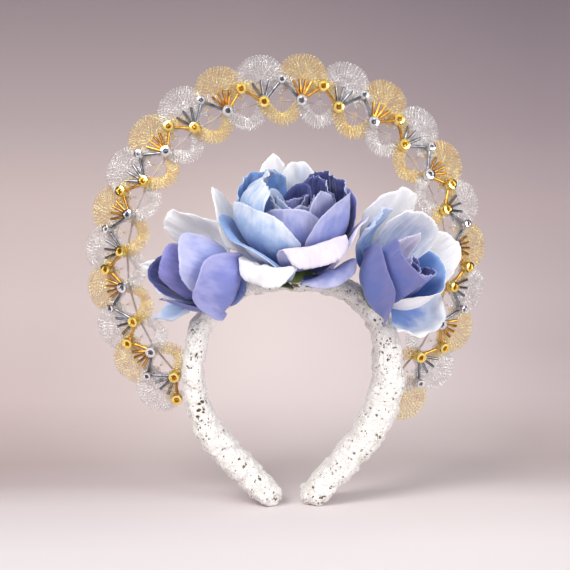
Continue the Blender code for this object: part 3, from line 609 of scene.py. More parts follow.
def make_petal(number, row):
    rose, name, outside, inside = row[0], row[1], row[-2], row[-1]
    node = rose + "_" + name
    grid, across, along = petal_surface(row, 100 * number)
    maps, wide, tall = petal_maps(grid, across, along)
    faces = grid_faces(ALONG, ACROSS)
    piece = new_piece(node + "_cloth", grid.reshape(-1, 3), faces, (outside, inside), maps, (node,))
    give_thickness(piece, PETAL_THICK)
    return piece


# %% [markdown]
# The heart of a rose is the last few petals, rolled round one another so tightly that nobody sees
# where one ends. One mesh holds these folds and the calyx under them, the small cup that is glued
# to the band.

# %% Hearts
FOLDS = (
    # rose, name, profile, azimuth, half span, share, left drop, right drop, tip, spiral,
    # tilt, manner, outside, inside
    ("centre", "bud", "fold_small", 20, 150, 1.00, 0.10, 0.10, 0.10, 1.8, 0, "tight", "violet", "shade_navy"),
    ("centre", "curl_left", "fold", -70, 95, 1.00, 0.16, 0.16, 0.08, 1.6, 0, "tight", "sky", "blue"),
    ("centre", "curl_right", "fold", 80, 90, 0.96, 0.16, 0.16, 0.08, 1.6, 0, "tight", "violet", "shade_navy"),
    ("centre", "wrap_left", "fold_wide", -100, 70, 1.00, 0.18, 0.18, 0.06, 1.6, 0, "cup", "ice", "sky"),
    ("centre", "wrap_front", "fold_wide", 20, 60, 0.90, 0.18, 0.18, 0.06, 1.6, 0, "cup", "lavender", "shade_navy"),
    ("centre", "wrap_back", "fold_wide", 130, 70, 1.00, 0.18, 0.18, 0.06, 1.6, 0, "cup", "shade_navy", "shade_navy"),
    ("left", "bud", "fold_small", 0, 160, 1.00, 0.10, 0.10, 0.10, 1.6, 0, "tight", "violet", "indigo"),
    ("left", "curl", "fold", 150, 130, 1.00, 0.14, 0.14, 0.08, 1.6, 0, "tight", "violet", "indigo"),
    ("right", "bud", "fold_small", 60, 160, 1.00, 0.10, 0.10, 0.10, 1.6, 0, "tight", "lavender", "indigo"),
    ("right", "curl", "fold", -60, 130, 1.00, 0.14, 0.14, 0.08, 1.6, 0, "tight", "lavender", "indigo"),
)
CALYX = {
    # rows of radius and height in mm
    "centre": (
        *((0.2, 12.5), (7.0, 10.0), (8.4, 6.4), (12.4, 2.4)),
        *((13.2, -0.6), (13.0, -3.2), (11.2, -5.2), (0.2, -5.2)),
    ),
    "left": (
        *((0.2, 12.5), (6.2, 10.0), (7.6, 5.4), (10.6, 1.6)),
        *((11.6, -0.6), (10.0, -4.0), (7.0, -6.0), (0.2, -6.0)),
    ),
    "right": (
        *((0.2, 12.5), (6.0, 10.0), (7.6, 5.6), (10.8, 1.6)),
        *((12.0, -0.8), (10.4, -4.4), (7.4, -6.4), (0.2, -6.4)),
    ),
}
CALYX_SIDES = 40
CALYX_RINGS = 28
CALYX_DYES = {"centre": "leaf", "left": "slate", "right": "leaf"}
SEPALS = 5
RIB = 0.05
FOLD_SEED = 7000


def calyx_grid(rose):
    """The turned calyx, with shallow ribs where its sepals meet."""
    turns, places = np.linspace(0, math.tau, CALYX_SIDES + 1), np.linspace(0, 1, CALYX_RINGS + 1)
    turn, place = np.meshgrid(turns, places)
    profile = curve_through(CALYX[rose], place)
    radius = np.maximum(profile[..., 0], 0.0) * (1 + RIB * np.cos(SEPALS * turn))
    return turned(rose, turn, radius, profile[..., 1]), turn / math.pi - 1, place


def make_heart(rose, number):
    points, faces, petal, cloth, finishes, worn = [], [], [], [], [], []
    sheets = []
    for index, row in enumerate(row for row in FOLDS if row[0] == rose):
        surface = petal_surface(row, FOLD_SEED + 100 * number + 10 * index)
        sheets.append((surface, row[-2:], ALONG, ACROSS))
    sheets.append((calyx_grid(rose), (CALYX_DYES[rose],) * 2, CALYX_RINGS, CALYX_SIDES))
    for (grid, across, along), dyes, tall, wide in sheets:
        maps, _, _ = petal_maps(grid, across, along)
        quads = grid_faces(tall, wide, sum(len(part) for part in points))
        points.append(grid.reshape(-1, 3))
        petal.append(maps["petal"])
        cloth.append(maps["cloth"])
        worn += [len(finishes)] * len(quads)
        finishes += dyes
        faces += quads
    maps = {"petal": np.concatenate(petal), "cloth": np.concatenate(cloth)}
    name, nodes = rose + "_heart_folds", (rose + "_heart",)
    piece = new_piece(name, np.concatenate(points), faces, finishes, maps, nodes, worn)
    give_thickness(piece, PETAL_THICK)
    return piece


for number, rose in enumerate(ROSES):
    heart = make_heart(rose, number)
    print(heart.name, triangles(heart), "triangles")

# %% Petals round the hearts
petals = [make_petal(number, row) for number, row in enumerate(PETALS)]
print(len(petals), "petals and leaves,", sum(triangles(petal) for petal in petals), "triangles")

# %% [markdown]
# ## The lace-wound band
#
# A padded arch is wound with a strip of old crochet lace. The strip laps over itself, so a soft
# ridge runs round the band on a slant. The surface is one fine tube, with lumps from three sizes
# of noise. Its knots come from scattered seeds: a point stands high in the middle of its nearest
# seed and low between seeds. A second, sparser set of seeds makes the larger holes, which the
# finish paints dark olive as painted shade. The smallest pits and the seams between strands are too
# fine for the mesh, so the finish draws them, darker, as painted shade.

# %% The band's arch
BAND_ROWS = (
    # x, z, thickness across the arch in mm
    (-16.0, 7.2, 17.0),
    (-37.5, 29.5, 18.5),
    (-53.5, 48.0, 18.0),
    (-62.5, 68.5, 15.0),
    (-65.5, 91.0, 14.0),
    (-59.5, 121.0, 14.0),
    (-37.0, 143.5, 13.0),
    (0.0, 150.0, 12.0),
    (37.0, 143.5, 13.5),
    (59.5, 121.0, 15.5),
    (65.5, 91.0, 20.0),
    (62.0, 68.5, 22.0),
    (52.0, 47.5, 21.0),
    (36.5, 29.0, 19.0),
    (16.0, 7.2, 17.0),
)
BAND_DEPTH = 28.0
BAND_SQUARENESS = 2.8
BAND_RINGS = 600
BAND_SIDES = 112
END_RINGS = 16
END_REACH = 9.6
WIND_PITCH = 23.0
WIND_RIDGE = 1.2
LUMPS = ((6.5, 1.3), (2.6, 0.7), (1.3, 0.35))
KNOT = 1.9
KNOT_CROWDING = 0.78
KNOT_HEIGHT = 0.55
KNOT_SEED, HOLE_SEED, SIZE_SEED = 11, 12, 13
HOLES = 1300
HOLE_RADIUS = (0.30, 0.85)
HOLE_DEPTH = 1.4
HOLE_EDGE = 0.35
HOLE_GROUPS = 11.0
HOLE_SHIFT = Vector((3.1, 0.0, 0.0))
SOLE_HEIGHT = 0.25
PIT_SHARE = 0.78
PIT_SIZE = 1.7
PIT_EDGE = 14.0
SEAM_SHADE = 0.42
STRAND_TURN = (0.3, 0.9, 0.4)
STRAND_STRETCH = (1.0, 1.0, 0.45)
CLOTH_PER_M = 1000.0
BLACK, WHITE = (0.0, 0.0, 0.0, 1.0), (1.0, 1.0, 1.0, 1.0)


def band_rings():
    """Centre, direction along the arch, thickness and end rounding of every ring, in mm."""
    path = curve_through(BAND_ROWS, np.linspace(0, 1, BAND_RINGS))
    centres, thickness = path[:, :2], path[:, 2]
    along = np.gradient(centres, axis=0)
    along /= np.linalg.norm(along, axis=1, keepdims=True)
    rounded = np.sin(np.linspace(0, 1, END_RINGS + 1)[1:] * math.pi / 2)
    reach, share = rounded * END_REACH, np.sqrt(np.maximum(1 - rounded**2, 0.0004))
    start = centres[0] - along[0] * reach[::-1, None]
    end = centres[-1] + along[-1] * reach[:, None]
    centres = np.concatenate([start, centres, end])
    along = np.concatenate([np.repeat(along[:1], END_RINGS, 0), along, np.repeat(along[-1:], END_RINGS, 0)])
    thickness = np.pad(thickness, END_RINGS, mode="edge")
    share = np.concatenate([share[::-1], np.ones(BAND_RINGS), share])
    return centres, along, thickness, share


def band_surface():
    """The smooth padded surface in mm, its outward normals, and the turns of the winding there."""
    centres, along, thickness, share = band_rings()
    arc = np.concatenate([[0], np.cumsum(np.linalg.norm(np.diff(centres, axis=0), axis=1))])
    angle = math.tau * np.arange(BAND_SIDES) / BAND_SIDES
    power = 2 / BAND_SQUARENESS
    across = np.sign(np.cos(angle)) * np.abs(np.cos(angle)) ** power
    deep = np.sign(np.sin(angle)) * np.abs(np.sin(angle)) ** power
    inward = np.stack([along[:, 1], -along[:, 0]], axis=1)
    flat = centres[:, None] + inward[:, None] * (across * (0.5 * thickness * share)[:, None])[..., None]
    depth = BAND_Y + deep * (0.5 * BAND_DEPTH * share)[:, None]
    points = np.stack([flat[..., 0], depth, flat[..., 1]], axis=-1)
    over = np.roll(points, -1, axis=1) - np.roll(points, 1, axis=1)
    up = np.gradient(points, axis=0)
    normals = np.cross(over, up)
    normals /= np.maximum(np.linalg.norm(normals, axis=-1, keepdims=True), 1e-9)
    middles = np.stack([centres[:, 0], np.full(len(centres), BAND_Y), centres[:, 1]], axis=1)
    outward = ((points - middles[:, None]) * normals).sum(-1)
    normals *= np.sign(np.median(outward))
    return points, normals, arc[:, None] / WIND_PITCH + angle / math.tau


def scattered(points, count, seed):
    """A search tree of points picked at random from a list."""
    chosen = np.random.default_rng(seed).permutation(len(points))[:count]
    tree = KDTree(count)
    for index, place in enumerate(chosen):
        tree.insert(points[place], index)
    tree.balance()
    return tree


def lace_relief(points, turns):
    """How high the lace stands at each point in mm, and how open it is there, from 0 to 1."""
    flat = points.reshape(-1, 3)
    knots = scattered(flat, round(len(flat) * (KNOT_CROWDING / KNOT) ** 2), KNOT_SEED)
    holes = scattered(flat, HOLES, HOLE_SEED)
    sizes = np.random.default_rng(SIZE_SEED).uniform(*HOLE_RADIUS, HOLES)
    relief, opened = np.zeros(len(flat)), np.zeros(len(flat))
    for index, point in enumerate(flat):
        here = Vector(point)
        (_, _, near), (_, _, next_near) = knots.find_n(here, 2)
        _, hole, away = holes.find(here)
        relief[index] = sum(height * noise.noise(here / scale) for scale, height in LUMPS)
        relief[index] -= KNOT_HEIGHT * (1 - min(1.0, (next_near - near) / (0.5 * KNOT))) ** 2
        crowded = noise.noise(here / HOLE_GROUPS + HOLE_SHIFT)
        opened[index] = sizes[hole] * (1.0 + 1.1 * crowded) - away - HOLE_EDGE * noise.noise(here / 0.9)
    opened = ramp_up(opened / HOLE_EDGE)
    relief -= HOLE_DEPTH * opened
    turn = (turns.ravel() + 0.05 * relief) % 1.0
    ridge = ramp_up(turn / 0.10) * ramp_up((1 - turn) / 0.35)
    return (relief + WIND_RIDGE * (ridge - 0.6)).reshape(turns.shape), opened.reshape(turns.shape)


def lace_finish():
    """Off-white cotton, with painted shade: darker in the seams between strands, and dark olive down in the
    holes and pits.
    """
    material, tree, shader = new_material(
        "lace_cotton", Sheen_Weight=0.3, Sheen_Roughness=0.5, Roughness=0.85
    )
    metres = add(tree, "TexCoord").outputs["Object"]
    place = add(tree, "Mapping", {"Vector": metres, "Scale": (CLOTH_PER_M,) * 3}).outputs[0]
    hole = add(tree, "Attribute", attribute_name="hole").outputs["Fac"]
    clouds = use(tree, DYE_CLOUDS, Vector=place, Scale=0.12)[0]
    cotton = ramp(tree, clouds, [(0.3, paint(248, 244, 239)), (0.6, paint(254, 252, 250))])
    # Painted shade: a dark olive for the holes and pits.
    hole_shade = ramp(tree, clouds, [(0.35, paint(84, 72, 46)), (0.65, paint(140, 128, 104))])
    weave = use(tree, PLAIN_WEAVE, Vector=place, Threads=1.6)[0]
    wander = add(tree, "TexNoise", {"Vector": place, "Scale": 1.3, "Detail": 2.0}).outputs["Color"]
    frayed = add(tree, "VectorMath", {0: place, 1: wander}, operation="ADD").outputs[0]
    mapping = {"Vector": frayed, "Rotation": STRAND_TURN, "Scale": STRAND_STRETCH}
    strands = add(tree, "Mapping", mapping).outputs[0]
    edges = add(tree, "TexVoronoi", {"Vector": strands, "Scale": 0.85}, feature="DISTANCE_TO_EDGE")
    threads = edges.outputs["Distance"]
    eyes = add(tree, "TexVoronoi", {"Vector": strands, "Scale": 0.7}).outputs
    chance = add(tree, "SeparateColor", {0: eyes["Color"]}).outputs[0]
    size = calculate(tree, "MULTIPLY", calculate(tree, "SUBTRACT", chance, PIT_SHARE), PIT_SIZE)
    pit = calculate(tree, "MULTIPLY", calculate(tree, "SUBTRACT", size, eyes["Distance"]), PIT_EDGE)
    open_share = calculate(tree, "MAXIMUM", ramp(tree, hole, [(0.15, BLACK), (0.6, WHITE)]), pit)
    # Painted shade in the seams between strands.
    seam_shade = ramp(tree, threads, [(0.02, WHITE), (0.16, BLACK)])
    shaded = blend_colours(tree, calculate(tree, "MULTIPLY", seam_shade, SEAM_SHADE), cotton, paint(172, 160, 142))
    hole_shade_mask = ramp(tree, open_share, [(0.0, BLACK), (1.0, WHITE)])
    tree.links.new(blend_colours(tree, hole_shade_mask, shaded, hole_shade), shader["Base Color"])
    relief = calculate(tree, "MULTIPLY_ADD", threads, 1.4, calculate(tree, "MULTIPLY", weave, 0.15))
    bump = add(tree, "Bump", {"Height": relief, "Strength": 0.7, "Distance": 0.55 * MM})
    tree.links.new(bump.outputs[0], shader["Normal"])
    return material


FINISHES["lace"] = lace_finish()


def tube_faces(rings, sides):
    """The quads of a closed tube, ring by ring, and its two end faces."""
    faces = []
    for low in range(0, (rings - 1) * sides, sides):
        for side in range(sides):
            onward = (side + 1) % sides
            faces.append((low + side, low + onward, low + sides + onward, low + sides + side))
    return faces + [tuple(range(sides))[::-1], tuple((rings - 1) * sides + side for side in range(sides))]


def make_band():
    points, normals, turns = band_surface()
    relief, holes = lace_relief(points, turns)
    points = points + normals * relief[..., None]
    points[..., 2] = np.maximum(points[..., 2], SOLE_HEIGHT)
    faces = tube_faces(*turns.shape)
    points = points.reshape(-1, 3) * MM
    piece = new_piece("headband_lace", points, faces, ("lace",), None, ("headband",))
    hole = piece.data.attributes.new("hole", "FLOAT", "POINT")
    hole.data.foreach_set("value", holes.ravel().astype(np.float32))
    return piece


band = make_band()
print(band.name, triangles(band), "triangles")

# %% [markdown]
# ## The halo's shape
#
# Everything on the halo is placed by three numbers: an angle from the top, a distance outwards
# from the line of beads, and a distance behind the strip. The strip leans back towards the sides.

# %% Places on the halo
HALO_CENTRE_Z = 159.8
HALO_Y = 38.04
BEAD_LINE_RADIUS = 111.5
LEAN_MOST = math.radians(30)
ENDS_INWARD = 14.0
WIRE_END_ANGLE = math.radians(145)
UNITS = 22
UNIT_ANGLE = math.radians(13)
MIDDLE_UNIT = (UNITS - 1) / 2
HALO_TURN = math.radians(-2.4)
HALO_END_STRETCH = math.radians(5.0)
FIRST_PLACE = -0.5
LAST_PLACE = UNITS - 1.0
LOBE = 12.8
TAPE_LIFT = 0.85
LIFT_START = 0.25
LIFT_SPAN = 0.2
FAN_CENTRE = 14.8
FAN_RADIUS = 17.0


def unit_angle(unit):
    """The angle of a base bead from the top of the halo."""
    from_middle = unit - MIDDLE_UNIT
    return from_middle * UNIT_ANGLE + HALO_TURN + HALO_END_STRETCH * (from_middle / MIDDLE_UNIT) ** 2


def halo_points(angle, across, back):
    """Points of the halo in mm, for arrays of angles, distances outwards and distances back."""
    angle, across, back = np.broadcast_arrays(angle, across, back)
    lean = LEAN_MOST * np.sin(angle) ** 2
    below = np.maximum(0.0, np.abs(angle) - math.pi / 2) / WIRE_END_ANGLE
    outwards = BEAD_LINE_RADIUS - ENDS_INWARD * below + across * np.cos(lean) - back * np.sin(lean)
    y = HALO_Y + across * np.sin(lean) + back * np.cos(lean)
    return np.stack([outwards * np.sin(angle), y, HALO_CENTRE_Z + outwards * np.cos(angle)], axis=-1)


def wires(lines, radius, sides=3):
    """Points and faces of round wires, each through its own line of points in mm."""
    turn = math.tau * np.arange(sides) / sides
    points, faces, first = [], [], 0
    for line in lines:
        along = np.gradient(line, axis=0)
        side = np.cross(along, (0.0, 1.0, 0.02))
        side /= np.maximum(np.linalg.norm(side, axis=1, keepdims=True), 1e-9)
        other = np.cross(along, side)
        other /= np.maximum(np.linalg.norm(other, axis=1, keepdims=True), 1e-9)
        ring = side[:, None] * np.cos(turn)[:, None] + other[:, None] * np.sin(turn)[:, None]
        points.append((line[:, None] + radius * ring).reshape(-1, 3))
        faces += [tuple(first + corner for corner in face) for face in tube_faces(len(line), sides)]
        first += len(line) * sides
    return np.concatenate(points) * MM, faces


# %% [markdown]
# ## Knitted wire net
#
# The tapes and fans are knitted from thin wire, in plain stitches. A row of such stitches is one
# wave that doubles back on itself, so each loop has a narrow neck and a round head. Rows stand
# closer together than a loop is tall, so heads reach into the next row. Each fan is rows on circles
# round its middle, and its outermost heads make the spiky edge. Between the bead line and each
# inner lobe a few thinner threads cross the open eye.

# %% Stitches
STITCH_POINTS = 6
NECK = 0.14
WIRE_THICK = 0.26
STITCH_PITCH = 2.15
STITCH_TALL = 2.9
ROW_STEP = 1.95
FAN_ROWS = 8
EYE_THREADS = (0.22, 0.36, 0.5, 0.64, 0.78)
EYE_THREAD_THICK = 0.09
FAN_SPAN = math.radians(128)
FAN_CUP = 1.0
TAPE_ROWS = (-3.2, -1.6, 0.0, 1.6, 3.2)
PATH_STEPS = 24
LOBE_ROUND = 0.62
JITTER = 0.18
NETS = {
    # seed, first unit with a fan, how far behind the strip its fans lie in mm
    "gold": (5, 1, 1.3),
    "silver": (6, 0, 0.9),
}


def stitches(count):
    """Places along a row in stitches, and heights from -0.5 to 0.5."""
    turn = np.arange(count * STITCH_POINTS + 1) / STITCH_POINTS
    return turn + NECK * np.sin(2 * math.tau * turn), -0.5 * np.cos(math.tau * turn)


def uneven(count, draw):
    """A little unevenness, one number for each point."""
    return draw.normal(0.0, JITTER, count)


def fan_rows(unit, lift, draw):
    """The rows of one fan of net, outermost last."""
    reach = BEAD_LINE_RADIUS + FAN_CENTRE
    lines = []
    tilt = draw.uniform(-0.5, 0.5)
    for row in range(FAN_ROWS):
        radius = FAN_RADIUS - STITCH_TALL / 2 - ROW_STEP * (FAN_ROWS - 1 - row)
        count = max(6, round(2 * FAN_SPAN * radius / STITCH_PITCH))
        along, height = stitches(count)
        turn = FAN_SPAN * (2 * (along + draw.uniform()) / count - 1)
        away = radius + STITCH_TALL * height + uneven(len(turn), draw)
        sideways, outwards = away * np.sin(turn), FAN_CENTRE + away * np.cos(turn)
        back = lift - FAN_CUP * (away / FAN_RADIUS) ** 2 + tilt * sideways / FAN_RADIUS
        back = back + 0.8 * uneven(len(turn), draw)
        lines.append(halo_points(unit_angle(unit) + sideways / reach, outwards, back))
    return lines


def tape_path(colour):
    """Angle, distance outwards and back, along the middle of a tape."""
    front_units = 0 if colour == "gold" else 1
    place = np.linspace(FIRST_PLACE, LAST_PLACE, round((LAST_PLACE - FIRST_PLACE) * PATH_STEPS) + 1)
    unit = np.floor(place)
    part = place - unit
    lobe = LOBE * np.sin(math.pi * part) ** LOBE_ROUND
    inner = unit % 2 == front_units
    inner_back = 2 * ramp_up(part) - 1
    outer_back = 1 - 2 * ramp_up((part - LIFT_START) / LIFT_SPAN)
    across, back = np.where(inner, -lobe, lobe), TAPE_LIFT * np.where(inner, inner_back, outer_back)
    return unit_angle(place), across, back


def tape_rows(colour, draw):
    """The rows of one tape of net, side by side along its winding path."""
    angle, across, back = tape_path(colour)
    run = np.gradient(angle) * (BEAD_LINE_RADIUS + across)
    rise = np.gradient(across)
    length = np.hypot(run, rise)
    travelled = np.concatenate([[0], np.cumsum((length[1:] + length[:-1]) / 2)])
    side_run, side_rise = -rise / length, run / length
    tracks = (angle, across, back, side_run, side_rise)
    count = round(travelled[-1] / STITCH_PITCH)
    lines = []
    for offset in TAPE_ROWS:
        along, height = stitches(count)
        where = travelled[-1] * (along + draw.uniform(0, 0.5)) / count
        middle = [np.interp(where, travelled, track) for track in tracks]
        away = offset + STITCH_TALL * height * (1 if offset >= 0 else -1) + uneven(len(where), draw)
        turn = middle[0] + away * middle[3] / (BEAD_LINE_RADIUS + middle[1])
        depth = middle[2] + 0.6 * uneven(len(where), draw)
        lines.append(halo_points(turn, middle[1] + away * middle[4], depth))
    return lines


def eye_threads(unit):
    """Thin threads that run from the bead line to the foot of the lobe after a unit."""
    lines = []
    for part in EYE_THREADS:
        foot = -LOBE * math.sin(math.pi * part) ** LOBE_ROUND
        turn = np.linspace(unit_angle(unit + 0.5), unit_angle(unit + part), 5)
        lines.append(halo_points(turn, np.linspace(4.0, foot, 5), 0.0))
    return lines


def make_net(colour):
    seed, first, lift = NETS[colour]
    draw = np.random.default_rng(seed)
    lines = tape_rows(colour, draw)
    for unit in range(first, UNITS, 2):
        lines += fan_rows(unit, lift, draw)
    points, faces = wires(lines, WIRE_THICK)
    threads = [line for unit in range(1 - first, UNITS - 1, 2) for line in eye_threads(unit)]
    thin_points, thin_faces = wires(threads, EYE_THREAD_THICK)
    faces += [tuple(len(points) + corner for corner in face) for face in thin_faces]
    points = np.concatenate([points, thin_points])
    name, nodes = colour + "_net", (colour + "_net_tape",)
    return new_piece(name, points, faces, (colour + "_wire",), None, nodes)


nets = [make_net(colour) for colour in NETS]
print("nets:", [(net.name, triangles(net)) for net in nets])

# %% [markdown]
# ## Beads
#
# The round beads are turned metal with a wide hole that faces forward, and a seed bead sits in
# each hole to hold it. The seed beads take the darker bugle finishes, which partly paint the shade
# down in each hole. A turned ring is a closed profile swept round its axis. The bugles are short
# tubes with open ends: the links lie between round beads, and the others spread like the ribs of a
# fan from each base bead, in front of the net.

# %% Bead shapes
BEAD_SIDES = 20
BEAD_GAP = 0.3
TAPE_THICK = 1.0
BASE_BEAD = (4.0, 6.0)
GOLD_PEAK_BEAD = (3.9, 6.0)
SILVER_PEAK_BEAD = (3.1, 5.0)
GOLD_PEAK_REACH = 11.4
SILVER_PEAK_REACH = 14.0
# Share of the radius and of half the depth, from the hole to the middle of the outside, then back.
BEAD_HALF = ((0.34, -0.50), (0.40, -0.80), (0.54, -1.00), (0.86, -0.92), (0.98, -0.60), (1.00, 0.00))
BEAD_PROFILE = (*BEAD_HALF, *((share, -level) for share, level in BEAD_HALF[-2::-1]))
SEED_BEAD = (1.05, 1.4)
BUGLE_RADIUS = 0.95
BUGLE_BORE = 0.5
BUGLE_SIDES = 10
LINK_SINK = 0.55
LAST_LINK_GAP = 1.4
SEED_FORWARD = 0.1
FAN_BUGLE = 10.2
FAN_BUGLE_START = 4.4
FAN_BUGLES = {"gold": (-26, -9, 8, 25), "grey": (-24, 0, 23)}


def strip_directions(angle):
    """The strip's direction onwards, its direction outwards, and its normal towards the viewer."""
    here, step = halo_points(angle, 0.0, 0.0), 0.1
    onwards = halo_points(angle + 0.001, 0.0, 0.0) - here
    outwards = halo_points(angle, step, 0.0) - here
    forward = here - halo_points(angle, 0.0, step)
    return [vector / np.linalg.norm(vector) for vector in (onwards, outwards, forward)]


def bead_back(depth):
    """How far behind the strip a bead's middle lies, a negative number in front."""
    return -(TAPE_LIFT + TAPE_THICK / 2 + BEAD_GAP + depth / 2)


def ring_faces(rings, sides, first):
    """The quads of a closed ring of rings."""
    faces = []
    for ring in range(rings):
        low, high = first + ring * sides, first + (ring + 1) % rings * sides
        for side in range(sides):
            onward = (side + 1) % sides
            faces.append((low + side, high + side, high + onward, low + onward))
    return faces


def turned_ring(middle, axes, size):
    """Points of a bead round its hole, which faces forward."""
    onwards, outwards, forward = axes
    radius, depth = size
    turn = math.tau * np.arange(BEAD_SIDES) / BEAD_SIDES
    spokes = np.cos(turn)[:, None] * onwards + np.sin(turn)[:, None] * outwards
    rings = [middle + spokes * radius * share + forward * level * depth / 2 for share, level in BEAD_PROFILE]
    return np.stack(rings)


def bugle_rings(start, end):
    """Points of a hollow tube from start to end: outside, then back through the bore."""
    along = (end - start) / np.linalg.norm(end - start)
    side = np.cross(along, (0.0, 1.0, 0.0))
    side /= np.linalg.norm(side)
    other = np.cross(along, side)
    turn = math.tau * np.arange(BUGLE_SIDES) / BUGLE_SIDES
    spokes = np.cos(turn)[:, None] * side + np.sin(turn)[:, None] * other
    places = ((start, BUGLE_RADIUS), (end, BUGLE_RADIUS), (end, BUGLE_BORE), (start, BUGLE_BORE))
    return np.stack([place + spokes * radius for place, radius in places])


# %% The two strings
BEAD_FINISHES = ("gold_bead", "silver_bead", "gold_bugle", "grey_bugle")
# Seed beads take the darker bugle finishes: partly their own metal, partly painted shade in the hole.
SEED_SHADE_FINISHES = {"gold_bead": "gold_bugle", "silver_bead": "grey_bugle"}
SHARP_ANGLE = math.radians(50)


def peak_after(unit):
    """The peak bead after a unit: its distance outwards, its size and its metal."""
    if unit % 2 == 0:
        return SILVER_PEAK_REACH, SILVER_PEAK_BEAD, "silver_bead"
    return GOLD_PEAK_REACH, GOLD_PEAK_BEAD, "gold_bead"


def string_plan(side):
    """The round beads and the bugles of half of the string."""
    half, last_unit = UNITS // 2, UNITS - 2
    units = range(half) if side == "left" else range(half, last_unit + 1)
    rounds, tubes = [], []

    def link(start, end, metal):
        tubes.append((start, end, "gold_bugle" if metal == "gold_bead" else "grey_bugle"))

    if side == "left":
        rounds.append((FIRST_PLACE, GOLD_PEAK_REACH, GOLD_PEAK_BEAD, "gold_bead"))
        link((FIRST_PLACE, GOLD_PEAK_REACH, GOLD_PEAK_BEAD[0]), (0, 0.0, BASE_BEAD[0]), "gold_bead")
    for unit in units:
        reach, size, metal = peak_after(unit)
        rounds.append((unit, 0.0, BASE_BEAD, "gold_bead" if unit % 2 == 0 else "silver_bead"))
        rounds.append((unit + 0.5, reach, size, metal))
        link((unit, 0.0, BASE_BEAD[0]), (unit + 0.5, reach, size[0]), metal)
        if unit not in (half - 1, last_unit):
            link((unit + 0.5, reach, size[0]), (unit + 1, 0.0, BASE_BEAD[0]), metal)
    if side == "right":
        reach, size, metal = peak_after(half - 1)
        link((half - 0.5, reach, size[0] + LAST_LINK_GAP), (half, 0.0, BASE_BEAD[0]), metal)
    return units, rounds, tubes


def make_string(side):
    units, rounds, tubes = string_plan(side)
    points, faces, worn, first = [], [], [], 0
    lift = -(TAPE_LIFT + TAPE_THICK / 2 + BEAD_GAP + BUGLE_RADIUS)

    def keep(rings, finish):
        nonlocal first
        count, sides = rings.shape[:2]
        points.append(rings.reshape(-1, 3))
        faces.extend(ring_faces(count, sides, first))
        worn.extend([BEAD_FINISHES.index(finish)] * (count * sides))
        first += count * sides

    for place, reach, size, finish in rounds:
        axes = strip_directions(unit_angle(place))
        middle = halo_points(unit_angle(place), reach, bead_back(size[1]))
        keep(turned_ring(middle, axes, size), finish)
        keep(turned_ring(middle + axes[2] * size[1] * SEED_FORWARD, axes, SEED_BEAD), SEED_SHADE_FINISHES[finish])
    for start, end, finish in tubes:
        ends = [halo_points(unit_angle(place), reach, lift) for place, reach, _ in (start, end)]
        along = (ends[1] - ends[0]) / np.linalg.norm(ends[1] - ends[0])
        near, far = ends[0] + along * start[2] * LINK_SINK, ends[1] - along * end[2] * LINK_SINK
        keep(bugle_rings(near, far), finish)
    for unit in units:
        colour = "grey" if unit % 2 == 0 else "gold"
        onwards, outwards, _ = strip_directions(unit_angle(unit))
        base = halo_points(unit_angle(unit), 0.0, lift)
        for spread in FAN_BUGLES[colour]:
            turn = math.radians(spread)
            ray = math.cos(turn) * outwards + math.sin(turn) * onwards
            near, far = base + ray * FAN_BUGLE_START, base + ray * (FAN_BUGLE_START + FAN_BUGLE)
            keep(bugle_rings(near, far), colour + "_bugle")
    name = "bead_string_" + side
    points = np.concatenate(points) * MM
    piece = new_piece(name + "_beads", points, faces, BEAD_FINISHES, None, (name,), worn)
    piece.data.set_sharp_from_angle(angle=SHARP_ANGLE)
    return piece


strings = [make_string(side) for side in ("left", "right")]
print("strings:", [(string.name, triangles(string)) for string in strings])

# %% [markdown]
# ## The support wire
#
# A plain wire runs behind the beads and holds the halo to the band. Its modelled shape is already
# right, so it stays and only gets a finish.

# %% Support wire
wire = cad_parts["halo_wire"]
wire.data.materials.clear()
wire.data.materials.append(FINISHES["steel_wire"])
print("wire keeps its", len(wire.data.polygons), "faces")

# %% [markdown]
# ## Floor, light and camera
#
# The crown stands on a pale sweep of paper: a floor that curves up into a wall, so that no edge
# shows. Light and shade are painted into the paper's colour: a darker band of painted shadow on the
# floor just behind the crown, painted shade that darkens the wall with height and towards the upper
# right, and a painted pool of light behind the crown. The paper is clear from the back, so that the
# crown can be seen from there. A large soft light stands high on the left, a weaker one low on the
# right, and a faint one behind touches the net's edges. The world is bright above and has a dark
# screen on each side, which gives the polished beads something to mirror.

# %% Paper sweep
SWEEP_HALF_WIDTH = 2.6
SWEEP_FRONT = -2.2
SWEEP_START = 0.12
SWEEP_RADIUS = 0.55
SWEEP_TOP = 2.4
SWEEP_STEPS = 24
PAPER_FROM, PAPER_TO = -0.2, 1.2
# Painted light: a soft pool of light on the paper behind the crown, its place, size and strength.
PAINTED_GLOW_X, PAINTED_GLOW_AT, PAINTED_GLOW_WIDE, PAINTED_GLOW_TALL = 0.06, 0.20, 0.30, 0.75
PAINTED_GLOW_STRENGTH = 0.46
PAINTED_GLOW_COLOUR = paint(255, 247, 246)
# Painted shade: the paper darkens towards its upper right, by this colour over these ranges.
RIGHT_PAINTED_SHADE = paint(226, 224, 230)
DIM_RIGHT, DIM_UP = (0.0, 0.32), (0.2, 0.45)
PAPER_PAINTED_SHADES = (
    # metres along the paper from below the crown, and its painted shade there
    (-0.10, paint(228, 222, 224)),
    (0.02, paint(217, 208, 210)),
    (0.09, paint(190, 176, 177)),
    (0.16, paint(183, 168, 166)),
    (0.33, paint(204, 188, 187)),
    (0.55, paint(201, 187, 185)),
    (0.75, paint(186, 171, 169)),
    (0.90, paint(160, 147, 149)),
    (1.10, paint(128, 117, 122)),
)


